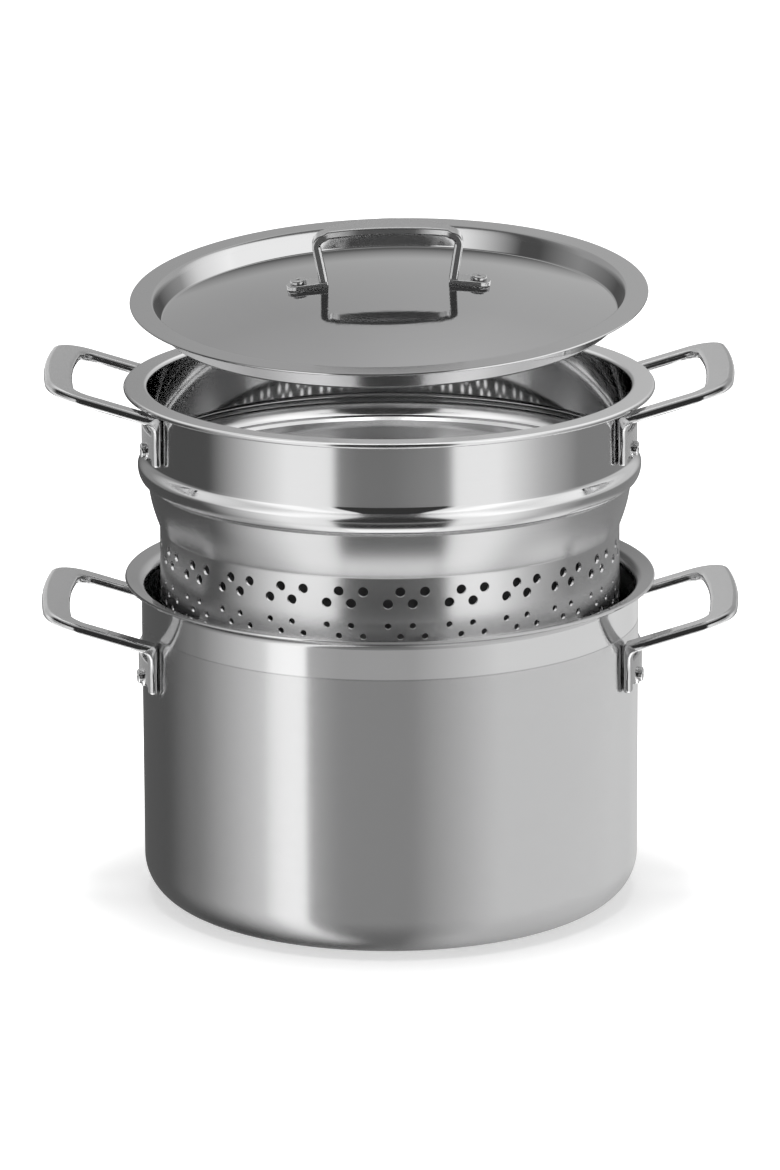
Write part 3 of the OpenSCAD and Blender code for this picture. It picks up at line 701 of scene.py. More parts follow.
def insert_mesh(p, finishes):
    """The whole insert: the turned rim, collar, bead and shoulder, the sieve wall, and the base."""
    parts = insert_parts(p)
    large_pitch, small_pitch, first_drop, small_drop = 5.9, 5.2, 6.6, 16.8
    corner, collar_low, satin_from, rim_low = 10.0, 6.0, 7.5, 3.0
    first_row = parts.shoulder_drop + first_drop
    large = [first_row + large_pitch * (i - 0.5) for i in range(3)]
    small = [first_row + small_drop + small_pitch * (i - 0.5) for i in range(4)]
    band_top, band_low = large[0], small[3]
    rows = [(large[0], large[1], p.large_hole, (1, 3)), (large[1], large[2], p.large_hole, (0, 2)),
            (large[2], small[0], 0, ()),
            (small[0], small[1], p.small_hole, (0, 2)), (small[1], small[2], p.small_hole, (1, 3)),
            (small[2], small[3], p.small_hole, (0, 2))]
    points, faces = sieve_sector(p, rows)
    sector = make_piece("sieve_sector", points, faces, [], merge=WELD)
    band = run_nodes(sector, *repeat_round_tree(), (p.hole_groups, 0.0, WELD, finishes[0]), "sieve_band")

    # the rest, from the top of the band up the outside, over the rim and down the inside
    sieve, sheet, depth = p.sieve_radius, p.sheet, p.depth
    upper = ([(sieve, band_top)] + parts.skin(0.0)[::-1] + [(p.collar_radius, collar_low)]
             + parts.rim_under + parts.rim_top
             + [(p.collar_radius - sheet, collar_low)] + parts.skin(sheet) + [(sieve - sheet, band_top)])
    flat = sieve - corner
    lower_out = arc(flat, depth - corner, corner, 90, 0, 10) + [(sieve, band_low)]
    lower_in = [(sieve - sheet, band_low)] + arc(flat, depth - corner, corner - sheet, 0, 90, 10)

    def upper_finish(a, b):
        """Satin below the bead outside, the polished collar above it, and the inside."""
        r, drop = (a[0] + b[0]) / 2, -(a[1] + b[1]) / 2
        outside = r > parts.sheet_middle(drop)
        if outside and drop > parts.widest + satin_from:
            return 0
        return 1 if outside or drop < rim_low else 2

    def side(outline, finish=None):
        return turned([(r, -drop) for r, drop in firmed(outline)], finish=finish)

    # finish 3 on the inside of the lower bend and the base's upper skin is darkened steel: painted shade
    points, faces, face_finishes = joined(
        side(upper, upper_finish), side(lower_out), side(lower_in, lambda a, b: 3), sieve_base(p, flat))
    rest = make_piece("insert_rest", points, faces, finishes, face_finishes)
    turn = turned_by(-90 + p.hole_turn, "Z")
    band.data.transform(turn)
    band.data.polygons.foreach_set("material_index", [0] * len(band.data.polygons))
    bm = bmesh.new()
    bm.from_mesh(rest.data)
    # the turned parts start at the same angle as the sieve's columns
    bmesh.ops.rotate(bm, verts=bm.verts, cent=(0, 0, 0), matrix=(turn @ turned_by(180 / p.hole_groups, "Z")).to_3x3())
    bm.from_mesh(band.data)
    bmesh.ops.remove_doubles(bm, verts=bm.verts, dist=2 * WELD)
    bmesh.ops.recalc_face_normals(bm, faces=bm.faces)
    bmesh.ops.translate(bm, verts=bm.verts, vec=(0, 0, p.rim_z * MM))
    bm.to_mesh(rest.data)
    bm.free()
    bpy.data.objects.remove(band)
    shade_smooth(rest.data)
    rest.name = rest.data.name = "insert_sieve"
    return rest


# ---- Finishes ----

def group_tree(name, inputs, outputs):
    """A shader node group; an input without a default is a vector, and all else are numbers."""
    tree = bpy.data.node_groups.new(name, "ShaderNodeTree")
    for label, value in inputs.items():
        kind = "NodeSocketVector" if value is None else "NodeSocketFloat"
        socket = tree.interface.new_socket(label, in_out="INPUT", socket_type=kind)
        if value is not None:
            socket.default_value = value
    for label in outputs:
        tree.interface.new_socket(label, in_out="OUTPUT", socket_type="NodeSocketFloat")
    return tree, tree.nodes.new("NodeGroupInput").outputs, tree.nodes.new("NodeGroupOutput").inputs


def noise_node(tree, position, **values):
    """A noise at a position; gives its output."""
    feeds = {name.capitalize(): value for name, value in values.items()}
    return add_node(tree, "ShaderNodeTexNoise", {"Vector": position, **feeds}).outputs[0]


def across_axis(tree, x, y):
    """Distance from the upright axis."""
    calc = partial(math_node, tree)
    return calc("SQRT", calc("ADD", calc("MULTIPLY", x, x), calc("MULTIPLY", y, y)))


def turned_lines_group():
    """Fine lines left by turning: they run round the upright axis and change slowly along their length."""
    tree, start, end = group_tree("turned_lines", {"Position": None, "Fineness": 1500.0, "Length": 9.0},
                                  ("Lines", "Fine lines"))
    calc = partial(math_node, tree)
    x, y, z = add_node(tree, "ShaderNodeSeparateXYZ", {0: start["Position"]}).outputs
    depth = calc("ADD", z, across_axis(tree, x, y))
    for label, share, slow in (("Lines", 0.32, 1.0), ("Fine lines", 1.0, 2.3)):
        length = calc("MULTIPLY", start["Length"], slow)
        place = {0: calc("MULTIPLY", x, length), 1: calc("MULTIPLY", y, length),
                 2: calc("MULTIPLY", depth, calc("MULTIPLY", start["Fineness"], share))}
        where = add_node(tree, "ShaderNodeCombineXYZ", place).outputs[0]
        tree.links.new(noise_node(tree, where, scale=1.0, detail=4.0, roughness=0.65), end[label])
    return tree


def handling_group():
    """Soft cloudy marks from washing and wiping, and slow waves in the surface."""
    tree, start, end = group_tree("handling_marks", {"Position": None, "Size": 22.0}, ("Marks", "Waves"))
    for label, factor, detail in (("Marks", 1.0, 5.0), ("Waves", 0.45, 1.0)):
        scale = math_node(tree, "MULTIPLY", start["Size"], factor)
        tree.links.new(noise_node(tree, start["Position"], scale=scale, detail=detail, roughness=0.6), end[label])
    return tree


def grain_group():
    """The fine pebbled grain of satin cast steel."""
    tree, start, end = group_tree("casting_grain", {"Position": None, "Fineness": 1400.0}, ("Grain",))
    tree.links.new(noise_node(tree, start["Position"], scale=start["Fineness"], detail=3.0), end["Grain"])
    return tree


def shared_group(tree, name, build, where):
    """The outputs of a shared node group at a position; the group is built once."""
    shared = bpy.data.node_groups.get(name) or build()
    return add_node(tree, "ShaderNodeGroup", {"Position": where}, node_tree=shared).outputs


def new_material(name):
    """A material with an empty tree."""
    m = bpy.data.materials.new(name)
    m.use_nodes = True
    m.node_tree.nodes.clear()
    return m, m.node_tree, partial(math_node, m.node_tree)


def clear_front(tree, surface, side):
    """The surface, but clear on the pot's front to mirrored rays that start close by.

    The sieve then stays bright down to the pot's rim. Side is the skin that is cleared, outer or inner."""
    near_wall, front = 0.035, -0.06  # length of such a ray, and how far forward the wall is cleared
    calc = partial(math_node, tree)
    path = tree.nodes.new("ShaderNodeLightPath").outputs
    y = add_node(tree, "ShaderNodeSeparateXYZ", {0: object_place(tree)}).outputs[1]
    passing = calc("MULTIPLY", path["Is Glossy Ray"], calc("LESS_THAN", path["Ray Length"], near_wall))
    passing = calc("MULTIPLY", passing, calc("LESS_THAN", y, front))
    if side == "outer":
        passing = calc("MULTIPLY", passing, tree.nodes.new("ShaderNodeNewGeometry").outputs["Backfacing"])
    clear = tree.nodes.new("ShaderNodeBsdfTransparent").outputs[0]
    return add_node(tree, "ShaderNodeMixShader", {0: passing, 1: surface, 2: clear}).outputs[0]


def steel_finish(name, colour, roughness, spread=0.0, lines=0.0, line_bump=0.0, marks=0.03, waves=0.0, grain=0.0,
                 place=None, clear_near=None):
    """Bare steel: turned lines, handling marks and, where it is cast, a fine grain."""
    found = bpy.data.materials.get(name)
    if found:
        return found
    m, tree, calc = new_material(name)
    where = object_place(tree)
    if place is not None:
        back = place.inverted()
        where = add_node(tree, "ShaderNodeMapping", {
            "Rotation": back.to_euler(), "Location": back.translation, "Vector": where},
            vector_type="POINT").outputs[0]

    def about(middle, value, swing):
        """A value from 0 to 1 as a swing about a middle."""
        return calc("MULTIPLY_ADD", value, swing, middle - swing / 2)

    mark_shade, line_rough, grain_rough = 0.05, 0.3 * lines, 0.08
    rub = shared_group(tree, "handling_marks", handling_group, where)
    rough = about(roughness, rub["Marks"], marks)
    shade = about(1.0, rub["Marks"], mark_shade)
    heights = [calc("MULTIPLY", rub["Waves"], waves)] if waves else []
    if lines:
        brush = shared_group(tree, "turned_lines", turned_lines_group, where)
        for label in ("Lines", "Fine lines"):
            shade = calc("MULTIPLY", shade, about(1.0, brush[label], lines))
        rough = calc("ADD", rough, about(0.0, brush["Lines"], line_rough))
        if line_bump:
            heights.append(calc("MULTIPLY", brush["Fine lines"], line_bump))
    if grain:
        pebble = shared_group(tree, "casting_grain", grain_group, where)["Grain"]
        heights.append(calc("MULTIPLY", pebble, grain))
        rough = calc("ADD", rough, about(0.0, pebble, grain_rough))
    # inputs 6 and 7 are the mix node's two colours, and output 2 is its colour
    tint = add_node(tree, "ShaderNodeMix", {0: shade, 6: (0, 0, 0, 1), 7: (*colour, 1)}, data_type="RGBA")
    feeds = {"Metallic": 1.0, "Base Color": tint.outputs[2], "Roughness": rough}
    if heights:
        height = heights[0]
        for more in heights[1:]:
            height = calc("ADD", height, more)
        feeds["Normal"] = add_node(tree, "ShaderNodeBump", {
            "Strength": 1.0, "Distance": MM, "Height": height}).outputs[0]
    if spread:
        around = add_node(tree, "ShaderNodeVectorMath", {0: (0, 0, 1), 1: where}, operation="CROSS_PRODUCT")
        quarter_turn = 0.25
        feeds |= {"Anisotropic": spread, "Tangent": around.outputs[0], "Anisotropic Rotation": quarter_turn}
    surface = add_node(tree, "ShaderNodeBsdfPrincipled", feeds).outputs[0]
    if clear_near:
        surface = clear_front(tree, surface, clear_near)
    add_node(tree, "ShaderNodeOutputMaterial", {0: surface})
    return m


def steels():
    """All finishes of the pot."""
    look = measures("look")
    steel, cast = tuple(look.steel), tuple(look.cast_steel)
    # steel at three tenths of its colour: painted shade for the deep inside of the insert
    shaded_steel = tuple(v * 0.3 for v in steel)
    lid = lid_place()
    lid.translation *= MM
    return SimpleNamespace(
        wall=steel_finish("brushed_wall", steel, 0.23, spread=1.0, lines=0.04, clear_near="outer"),
        band=steel_finish("polished_band", steel, 0.12, spread=0.3, lines=0.03, waves=0.01, clear_near="outer"),
        inside=steel_finish("inside_wall", steel, 0.24, spread=0.6, lines=0.06, line_bump=0.003, marks=0.04,
                            clear_near="inner"),
        collar=steel_finish("polished_collar", steel, 0.16, spread=0.65, lines=0.02, waves=0.01),
        inner=steel_finish("polished_inside", steel, 0.06, waves=0.05),
        sieve=steel_finish("satin_sieve", steel, 0.25, spread=0.8, lines=0.06, line_bump=0.003),
        # painted shade: darkened steel on the inside of the insert's lower bend and on its base
        depth=steel_finish("dull_depth", shaded_steel, 0.42, lines=0.04, marks=0.05),
        lid=steel_finish("polished_lid", steel, 0.07, lines=0.02, waves=0.01, place=lid),
        flange=steel_finish("satin_flange", steel, 0.14, spread=0.4, lines=0.05, line_bump=0.003, place=lid),
        cast=steel_finish("cast_handle", cast, 0.11, marks=0.04, waves=0.02, grain=0.002),
        rivet=steel_finish("rivet_steel", cast, 0.13, marks=0.05, grain=0.003))


# ---- Operators ----

class PASTA_OT_pot(bpy.types.Operator):
    """Turn the pot's wall, lip and base"""
    bl_idname = "pasta.pot"
    bl_label = "Pot"

    def execute(self, context):
        p, s = measures("pot"), steels()
        line = p.height - p.line_drop
        middle = p.inner_radius + p.wall / 2
        lip_inner = 9

        def finish(a, b):
            """0 for the brushed outside and foot, 1 for the polished band and lip, 2 for the inside."""
            r, z = (a[0] + b[0]) / 2, (a[1] + b[1]) / 2
            if z > line:
                return 1 if r > middle or z > p.height - lip_inner else 2
            return 0 if r > middle or self.is_outside(r, z, p) else 2

        points, faces, finishes = turned(pot_outline(p), finish=finish)
        obj = make_piece("pot_shell", points, faces, [s.wall, s.band, s.inside], finishes)
        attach(obj, "root")
        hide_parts("pot_body")
        return {"FINISHED"}

    @staticmethod
    def is_outside(r, z, p):
        """Whether a point at or below the bend of the pot's base is on its outer skin."""
        centre = p.inner_radius + p.wall - p.corner
        if r <= centre or z >= p.corner:
            return z < p.base / 2
        return math.hypot(r - centre, z - p.corner) > p.corner - p.wall / 2


class PASTA_OT_insert(bpy.types.Operator):
    """Press the perforated insert"""
    bl_idname = "pasta.insert"
    bl_label = "Insert"

    def execute(self, context):
        p, s = measures("insert"), steels()
        # the fourth finish is darkened steel: painted shade for the insert's deep inside
        obj = insert_mesh(p, [s.sieve, s.collar, s.inner, s.depth])
        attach(obj, "root")
        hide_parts("insert_body")
        return {"FINISHED"}


class PASTA_OT_lid(bpy.types.Operator):
    """Press the dished lid"""
    bl_idname = "pasta.lid"
    bl_label = "Lid"

    def execute(self, context):
        p, s = measures("lid"), steels()

        def finish(a, b):
            """1 for the flange and the well's wall, 0 for the dome."""
            r, z = (a[0] + b[0]) / 2, (a[1] + b[1]) / 2
            return 1 if r > p.well_radius - SATIN_IN and z > SATIN_LOW else 0

        points, faces, finishes = turned(lid_outline(p), finish=finish)
        obj = make_piece("lid_shell", points, faces, [s.lid, s.flange], finishes, place=lid_place())
        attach(obj, "root")
        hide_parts("lid_body")
        # lets the light reach the insert's inside below the lid
        obj.visible_glossy = False
        return {"FINISHED"}


class PASTA_OT_side_handles(bpy.types.Operator):
    """Cast the four side handles"""
    bl_idname = "pasta.side_handles"
    bl_label = "Side handles"

    def execute(self, context):
        pot, insert, loop, s = measures("pot"), measures("insert"), measures("loop"), steels()
        for side, turn in (("left", 180), ("right", 0)):
            side_loop(f"pot_loop_{side}", f"pot_handle_{side}", pot.inner_radius + pot.wall,
                      pot.height - loop.pot_drop, turn, s.cast)
            side_loop(f"insert_loop_{side}", f"insert_handle_{side}", insert.collar_radius,
                      insert.rim_z - loop.insert_drop, turn, s.cast)
        return {"FINISHED"}


def bow_sizes():
    """The lid handle's feet: where they and their rivets sit on the dome."""
    lid, bow = measures("lid"), measures("bow")
    radius, centre = dome_of(lid)
    side_run, rivet_reach, lug_reach = 3.2, 10, 16
    half = bow.thickness / 2
    foot = bow.width / 2 - half - side_run
    rivet_r = foot + half + rivet_reach
    return SimpleNamespace(radius=radius, centre=centre, side_run=side_run, foot=foot, rivet_r=rivet_r,
                           tilt=asind(rivet_r / radius), lug_start=foot - half, lug_end=foot + half + lug_reach,
                           lug_sheet=2.6, lug_gap=0.18)


def on_dome(b, sign, lift):
    """Where a foot of the lid handle sits, in the lid's own frame, at a height above the dome."""
    return (turned_by(0 if sign > 0 else 180, "Z") @ Matrix.Translation((0, 0, b.centre))
            @ turned_by(b.tilt, "Y") @ Matrix.Translation((0, 0, b.radius + lift)))


class PASTA_OT_lid_handle(bpy.types.Operator):
    """Form the strap handle on the lid, with its two feet"""
    bl_idname = "pasta.lid_handle"
    bl_label = "Lid handle"

    def execute(self, context):
        bow, b, s = measures("bow"), bow_sizes(), steels()
        strap_width, corner_width, bend, sunk = 9.0, 9.4, 5.0, 0.45
        half = bow.width / 2 - bow.thickness / 2
        foot_z = b.centre + (b.radius + b.lug_gap + b.lug_sheet * sunk - b.foot * sind(b.tilt)) / cosd(b.tilt)
        lean = math.degrees(math.atan(b.side_run / (bow.height - foot_z)))
        bar_z = bow.height - bow.thickness / 2
        arch = (half ** 2 + bow.arch ** 2) / (2 * bow.arch)
        rise = asind((half - bend) / arch)
        turn_x, turn_z = half - bend, bar_z - bend

        def side(sign):
            def station(x, z, a, width):
                """A station of the strap, with its outer face at angle a."""
                return (sign * x, 0, z), (0, -1, 0), (sign * cosd(a), 0, sind(a)), width, bow.thickness, 1.0

            out = [station(b.foot, foot_z, 0, strap_width),
                   station(b.foot + b.side_run / 2, (foot_z + turn_z) / 2, -lean, strap_width)]
            for i in range(15):
                a = -lean + (90 + lean - rise) * i / 14
                out.append(station(turn_x + bend * cosd(a), turn_z + bend * sind(a), a,
                                   strap_width + (corner_width - strap_width) * i / 14))
            for i in range(1, 16):
                f = i / 16
                x = (turn_x + bend * sind(rise)) * (1 - f)
                a = asind(x / arch)
                out.append(station(x, bar_z + bow.arch - arch * (1 - cosd(a)), 90 - a,
                                   corner_width + (bow.bar_width - corner_width) * sind(90 * f)))
            return out

        middle = [((0, 0, bar_z + bow.arch), (0, -1, 0), (0, 0, 1), bow.bar_width, bow.thickness, 1.0)]
        parts = [swept(side(-1) + middle + side(1)[::-1])]
        width, end_width, steps = 11.0, 0.9, 16
        inner, outer = b.rivet_r - b.lug_start, b.lug_end - b.rivet_r - width / 2
        runs = [(x, width) for x in (-inner, -inner + 0.4, outer)]
        runs += [(outer + width / 2 * sind(90 * i / steps), max(end_width, width * cosd(90 * i / steps)))
                 for i in range(1, steps + 1)]
        stations = [((x, 0, b.lug_sheet / 2), (0, 1, 0), (0, 0, 1), w, b.lug_sheet, 0.5) for x, w in runs]
        points, faces, finishes = swept(stations, steps=4)
        for sign in (-1, 1):
            place = on_dome(b, sign, b.lug_gap)
            parts.append(([tuple(place @ Vector(q)) for q in points], faces, finishes))
        points, faces, _ = joined(*parts)
        obj = make_piece("lid_strap", points, faces, [s.cast], place=lid_place())
        outward(obj)
        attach(obj, "root")
        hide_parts("lid_handle")
        return {"FINISHED"}


def rivet_outline(head, top, bottom, shank=2.4):
    """A rivet along its own axis: a head with rounded shoulders and a dimple, and a domed head at the back."""
    height, shoulder, back, rise = top + 2.0, 0.8, head - 0.3, 1.7
    return firmed(
        [(0.0, height - 1.1), (0.55, height - 1.1), (1.0, height - 0.35), (1.15, height - 0.1), (1.35, height)]
        + arc(head - shoulder, height - shoulder, shoulder, 90, 0, 9)
        + [(head, top), (shank, top), (shank, bottom), (back, bottom)]
        + [(back * cosd(a), bottom - rise * sind(a)) for a in range(6, 90, 6)]
        + [(0.0, bottom - rise)], gap=0.08)


class PASTA_OT_rivets(bpy.types.Operator):
    """Set the rivets of the side handles and of the lid handle"""
    bl_idname = "pasta.rivets"
    bl_label = "Rivets"

    def execute(self, context):
        pot, insert, loop, lid = measures("pot"), measures("insert"), measures("loop"), measures("lid")
        b, s = bow_sizes(), steels()
        play, back_play, side_head, lid_head = 0.02, 0.1, 3.6, 4.0
        plate_top = PLATE_GAP + PLATE_SHEET + play
        turns = {"right_front": -RIVET_TURN, "right_rear": RIVET_TURN,
                 "left_front": 180 + RIVET_TURN, "left_rear": 180 - RIVET_TURN}
        sets = (("pot", pot.inner_radius + pot.wall, pot.height - loop.pot_drop - RIVET_DROP, pot.wall),
                ("insert", insert.collar_radius, insert.rim_z - loop.insert_drop - RIVET_DROP, insert.sheet))
        for name, radius, z, wall in sets:
            places = [turned_by(t, "Z") @ Matrix.Translation((radius, 0, z)) @ turned_by(90, "Y")
                      for t in turns.values()]
            self.set_rivets(name + "_rivets", [f"{name}_rivet_{k}" for k in turns], places,
                            rivet_outline(side_head, plate_top, -wall - back_play), s.rivet)
        places = [lid_place() @ on_dome(b, sign, 0) for sign in (-1, 1)]
        self.set_rivets("lid_rivets", ["lid_rivet_left", "lid_rivet_right"], places,
                        rivet_outline(lid_head, b.lug_gap + b.lug_sheet + play, -lid.sheet - back_play - play), s.rivet)
        return {"FINISHED"}

    @staticmethod
    def set_rivets(name, nodes, places, outline, material):
        """One lot of rivets as one piece: a copy of the rivet at each place."""
        sharp = 50
        points, faces, _ = turned(outline[::-1], turns=40)
        rivet = make_piece("one_rivet", points, faces, [], sharp=sharp)
        mesh = bpy.data.meshes.new(name)
        mesh.from_pydata([tuple(m.translation * MM) for m in places], [], [])
        facing = mesh.attributes.new("facing", "FLOAT_VECTOR", "POINT")
        facing.data.foreach_set("vector", [v for m in places for v in m.to_euler()])
        made = run_nodes(linked(name, mesh), *rivets_tree(), (rivet, material), name)
        made.data.set_sharp_from_angle(angle=math.radians(sharp))
        bpy.data.objects.remove(rivet)
        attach(made, "root")
        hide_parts(*nodes)


# each set's room: its radius, its dim level and its light panels; of a panel the left and right edge and their
# softness, the lowest and highest elevation and their softness, and its level; the azimuth runs from the front
# and is positive to the right
ROOMS = {
    "pot": (2.6, 0.285, (
        ("left_panel", -74, -38, 50, 1.5, -80, 75, 10, 0.74),
        ("bright_strip", -57, -38, 4, 1.5, -80, 75, 10, 0.30),
        ("strip_edge", -38, -30, 1.5, 14, -80, 75, 10, 0.14),
        ("right_panel", 30, 175, 40, 40, -80, 75, 12, 0.47),
        ("left_shade", -172, -112, 24, 20, -80, 75, 12, -0.165),
        ("right_shade", 136, 180, 24, 5, -80, 75, 12, -0.14),
        ("belt", -58, 190, 70, 1, -21, -10, 4, 0.22),
        ("low_shade", -190, 190, 1, 1, -91, -46, 20, -0.10),
    )),
    "insert": (2.6, 0.05, (
        ("around", 27, 335, 1, 1, -91, 91, 1, 0.05),
        ("left_panel", -70, -25, 44, 3, -91, 91, 10, 1.15),
        ("right_panel", 28, 74, 5, 46, -91, 91, 10, 1.15),
        ("right_back", 85, 172, 20, 30, -91, 20, 10, 0.20),
        ("front_grey", -25, 26.5, 1, 1, -16, -11, 1.5, 0.38),
        ("front_left", -25, -17, 1, 8, -16.5, -10.5, 1.5, 0.08),
        ("front_right", 9, 26.5, 18, 1, -16.5, -10.5, 1.5, 0.14),
        ("front_floor", -25, 27, 1, 1, -74, -42, 6, 1.75),
        ("low_shade", -80, 80, 20, 20, -91, -32, 8, -0.30),
        ("side_floor", 27, 335, 12, 12, -91, -36, 8, 0.35),
        ("right_low", 84, 172, 30, 20, -91, -28, 8, 0.42),
        ("back", 100, 260, 30, 30, 2, 70, 12, 0.24),
        ("back_right", 90, 180, 20, 14, 2, 70, 12, 0.24),
        ("side_top", 50, 310, 30, 30, 24, 91, 16, 0.75),
        ("ceiling", -190, 190, 1, 1, 76, 91, 8, 1.10),
    )),
    "lid": (0.9, 0.10, (
        ("back", 100, 260, 30, 30, 2, 91, 12, 0.34),
        ("back_right", 100, 180, 20, 24, 2, 91, 12, 0.09),
        ("ceiling", -190, 190, 1, 1, 46, 91, 24, 0.10),
        ("left_panel", -56, -25, 34, 3, -91, 40, 10, 1.10),
        ("right_panel", 28, 110, 12, 40, -91, 40, 10, 1.20),
    )),
    "strap": (2.6, 0.08, (
        ("left_panel", -165, -20, 20, 8, -91, 4, 10, 0.75),
        ("right_panel", 20, 165, 8, 20, -91, 4, 10, 1.05),
        ("front", -20, 20, 8, 8, -70, -6, 8, 0.05),
        ("floor", -190, 190, 1, 1, -91, -34, 8, 0.90),
        ("back", 95, 265, 20, 20, -4, 91, 8, 0.42),
        ("ceiling", -190, 190, 1, 1, 50, 91, 30, 0.58),
    )),
    "handle": (2.6, 0.04, (
        ("left_panel", -120, -25, 20, 3, -91, 0, 10, 1.00),
        ("right_panel", 28, 120, 5, 20, -91, 0, 10, 1.10),
        ("left_back", -170, -120, 6, 20, -91, 0, 10, 0.34),
        ("right_back", 120, 170, 20, 6, -91, 0, 10, 0.44),
        ("floor", -190, 190, 1, 1, -91, -32, 8, 0.90),
        ("back", 95, 265, 20, 20, -4, 91, 8, 0.42),
        ("back_bright", 181, 265, 8, 20, -4, 91, 8, 0.24),
        ("ceiling", -190, 190, 1, 1, 50, 91, 30, 0.50),
    )),
}
FLOOR_RADIUS, CARD_RADIUS, ROOM_STEP = 9.0, 6.0, 0.03  # the step keeps like rooms apart
ROOM_HEIGHTS = {"pot": 0.08, "insert": 0.22, "lid": 0.30, "strap": 0.31, "handle": 0.20}


def room_of(piece):
    """Which set of light panels lights a piece."""
    kind = piece.split("_")[0]
    if "strap" in piece or "rivets" in piece or "loop" in piece:
        return "strap" if kind == "lid" else "handle"
    return kind


def room_material(name, level, panels):
    """A glow that depends on the direction from the set: a dim room with light panels, clear to what lies behind it."""
    m, tree, calc = new_material(name)
    m.cycles.emission_sampling = "NONE"
    x, y, z = add_node(tree, "ShaderNodeSeparateXYZ", {0: object_place(tree)}).outputs
    azimuth = calc("DEGREES", calc("ARCTAN2", x, calc("MULTIPLY", y, -1.0)))
    elevation = calc("DEGREES", calc("ARCTAN2", z, across_axis(tree, x, y)))

    def within(value, low, high, low_soft, high_soft):
        """1 between two edges and 0 beyond them, with soft steps."""
        rising = calc("MULTIPLY_ADD", value, 1 / low_soft, 0.5 - low / low_soft, clamp=True)
        falling = calc("MULTIPLY_ADD", value, -1 / high_soft, 0.5 + high / high_soft, clamp=True)
        return calc("MULTIPLY", rising, falling)

    total = None
    for _, left, right, left_soft, right_soft, low, high, rise_soft, strength in panels:
        centre = (left + right) / 2
        off = calc("WRAP", calc("SUBTRACT", azimuth, centre), 180.0, -180.0)
        side = within(off, left - centre, right - centre, left_soft, right_soft)
        glow = calc("MULTIPLY", calc("MULTIPLY", side, within(elevation, low, high, rise_soft, rise_soft)), strength)
        total = glow if total is None else calc("ADD", total, glow)
    total = calc("MAXIMUM", calc("ADD", total, level), 0.0)
    glow = add_node(tree, "ShaderNodeEmission", {"Strength": total}).outputs[0]
    clear = tree.nodes.new("ShaderNodeBsdfTransparent").outputs[0]
    both = add_node(tree, "ShaderNodeAddShader", {0: glow, 1: clear}).outputs[0]
    add_node(tree, "ShaderNodeOutputMaterial", {0: both})
    return m


def black_card_material():
    """Dead black, behind the light panels."""
    m, tree, _ = new_material("black_card")
    card = add_node(tree, "ShaderNodeBsdfPrincipled", {
        "Base Color": (0, 0, 0, 1), "Roughness": 1.0, "Specular IOR Level": 0.0})
    add_node(tree, "ShaderNodeOutputMaterial", {0: card.outputs[0]})
    return m


def seen_ray(tree):
    """1 for rays from the camera, mirrored rays and rays through clear things, and 0 for the rest."""
    path = tree.nodes.new("ShaderNodeLightPath").outputs
    seen = math_node(tree, "MAXIMUM", path["Is Camera Ray"], path["Is Glossy Ray"])
    return math_node(tree, "MAXIMUM", seen, path["Is Transmission Ray"])


def floor_material(colour):
    """Pale floor that keeps the pot's soft shadow and adds a painted shadow: its glow is dimmed near the pot and goes
    to white away from it.
    """
    m, tree, calc = new_material("pale_floor")
    far = add_node(tree, "ShaderNodeVectorMath", {0: object_place(tree)}, operation="LENGTH").outputs["Value"]
    # painted shadow: the glow is 0.42 within 0.12 m of the middle and rises to full by 0.225 m, round the pot's foot
    rise = add_node(tree, "ShaderNodeMapRange", {
        "From Min": 0.12, "From Max": 0.225, "To Min": 0.42, "To Max": 1.0, "Value": far},
        interpolation_type="SMOOTHSTEP").outputs[0]
    paint = add_node(tree, "ShaderNodeBsdfDiffuse", {0: (*colour, 1)}).outputs[0]
    glow = add_node(tree, "ShaderNodeEmission", {"Strength": calc("MULTIPLY", seen_ray(tree), rise)}).outputs[0]
    both = add_node(tree, "ShaderNodeAddShader", {0: paint, 1: glow}).outputs[0]
    add_node(tree, "ShaderNodeOutputMaterial", {0: both})
    return m


def stage_object(name, bm, material, only_glossy=False):
    """A piece of the stage from a bmesh; only mirrored rays see it where only_glossy is set."""
    mesh = bpy.data.meshes.new(name)
    bm.to_mesh(mesh)
    bm.free()
    mesh.materials.append(material)
    obj = linked(name, mesh)
    if only_glossy:
        obj.visible_camera = obj.visible_diffuse = obj.visible_transmission = False
        obj.visible_volume_scatter = obj.visible_shadow = False
    obj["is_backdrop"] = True
    return obj


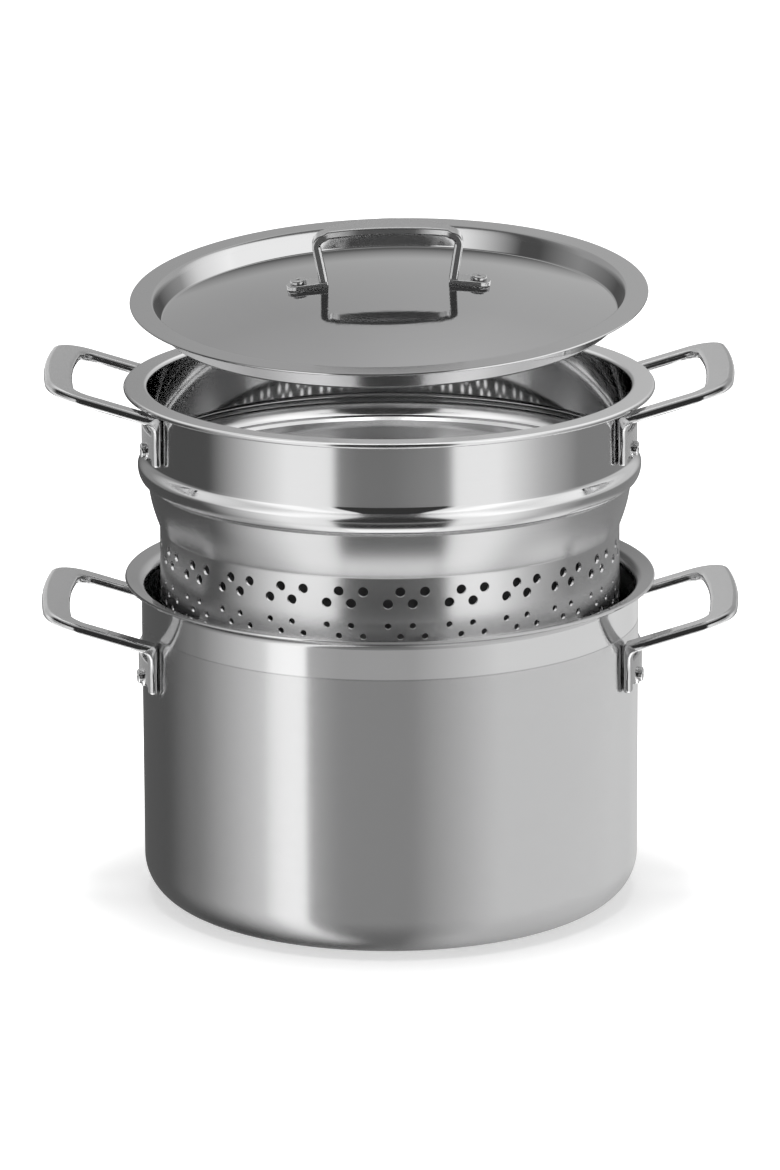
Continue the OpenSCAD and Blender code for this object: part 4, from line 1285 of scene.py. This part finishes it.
class PASTA_OT_stage(bpy.types.Operator):
    """Set the floor, the studio light and the camera"""
    bl_idname = "pasta.stage"
    bl_label = "Stage"

    def execute(self, context):
        self.set_floor()
        self.set_rooms()
        self.set_lamp()
        self.set_world(context.scene)
        self.set_camera(context.scene)
        context.scene.view_settings.view_transform = "Standard"
        return {"FINISHED"}

    @staticmethod
    def set_floor():
        bm = bmesh.new()
        bmesh.ops.create_circle(bm, cap_ends=True, segments=96, radius=FLOOR_RADIUS)
        floor = stage_object("floor", bm, floor_material(tuple(measures("look").floor)))
        floor.visible_glossy = False

    @staticmethod
    def set_rooms():
        """Light panels around each set of pieces, seen by those only, and a black card around all."""
        for i, (name, (radius, level, panels)) in enumerate([*ROOMS.items(), ("outer", (CARD_RADIUS, None, None))]):
            bm = bmesh.new()
            bmesh.ops.create_icosphere(bm, subdivisions=5, radius=radius + ROOM_STEP * i)
            for f in bm.faces:
                f.smooth = True
            name_room = name + "_room"
            if level is None:
                stage_object(name_room, bm, black_card_material(), only_glossy=True)
                continue
            dome = stage_object(name_room, bm, room_material(name_room, level, panels), only_glossy=True)
            dome.location = (0, 0, ROOM_HEIGHTS[name])
            group = bpy.data.collections.new(name + "_lit")
            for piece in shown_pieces():
                if room_of(piece.name) == name:
                    group.objects.link(piece)
            dome.light_linking.receiver_collection = group

    @staticmethod
    def set_lamp():
        lamp = bpy.data.lights.new("top_softbox", "AREA")
        lamp.shape, lamp.size, lamp.energy = "DISK", 1.1, 22.0
        top = linked("top_softbox", lamp)
        top.location = (0, 0, 2.0)
        top.visible_camera = top.visible_glossy = False

    @staticmethod
    def set_world(scene):
        """White to the camera, and half as bright to the light that falls on things."""
        world = bpy.data.worlds.new("white_room")
        scene.world = world
        world.use_nodes = True
        tree = world.node_tree
        tree.nodes.clear()
        strength = math_node(tree, "MULTIPLY_ADD", seen_ray(tree), 0.5, 0.5)
        room = add_node(tree, "ShaderNodeBackground", {"Strength": strength})
        add_node(tree, "ShaderNodeOutputWorld", {0: room.outputs[0]})

    @staticmethod
    def set_camera(scene):
        """The photograph's view: its lens in pixels of the frame's height, and its angle above level."""
        lens_px, frame_px, sensor, away = 6471.8, 1170, 36.0, 3.2
        above, aim_up, aim_side, aim_z = 15.64, 0.604, -0.22, 0.120
        data = bpy.data.cameras.new("camera")
        data.sensor_width, data.sensor_fit = sensor, "AUTO"
        data.lens = lens_px / frame_px * sensor
        data.clip_start, data.clip_end = 0.1, 60.0
        camera = linked("camera", data)
        camera.location = (0, -away * cosd(above), aim_z + away * sind(above))
        camera.rotation_euler = (turned_by(90 - above + aim_up, "X") @ turned_by(aim_side, "Z")).to_euler()
        scene.camera = camera


OPERATORS = (PASTA_OT_pot, PASTA_OT_insert, PASTA_OT_lid, PASTA_OT_side_handles, PASTA_OT_lid_handle,
             PASTA_OT_rivets, PASTA_OT_stage)


class PASTA_PT_panel(bpy.types.Panel):
    """Lists the pieces of the pasta pot"""
    bl_idname = "PASTA_PT_panel"
    bl_label = "Pasta Pot"
    bl_space_type = "VIEW_3D"
    bl_region_type = "UI"
    bl_category = "Pasta Pot"

    def draw(self, context):
        sizes = context.scene.pasta_pot
        for group in ("pot", "insert", "lid", "loop", "bow", "look"):
            box = self.layout.box()
            box.label(text=group.title())
            values = getattr(sizes, group)
            for prop in own_sizes(values):
                box.prop(values, prop.identifier)
        for operator in OPERATORS:
            self.layout.operator(operator.bl_idname)


CLASSES = (PotSizes, InsertSizes, LidSizes, LoopSizes, BowSizes, SteelLook, PastaPot, *OPERATORS, PASTA_PT_panel)


def register():
    for c in CLASSES:
        bpy.utils.register_class(c)
    bpy.types.Scene.pasta_pot = PointerProperty(type=PastaPot)


def unregister():
    del bpy.types.Scene.pasta_pot
    for c in reversed(CLASSES):
        bpy.utils.unregister_class(c)


def main():
    register()
    for name in ("pot", "insert", "lid", "side_handles", "lid_handle", "rivets", "stage"):
        getattr(bpy.ops.pasta, name)()


if __name__ == "__main__":
    main()
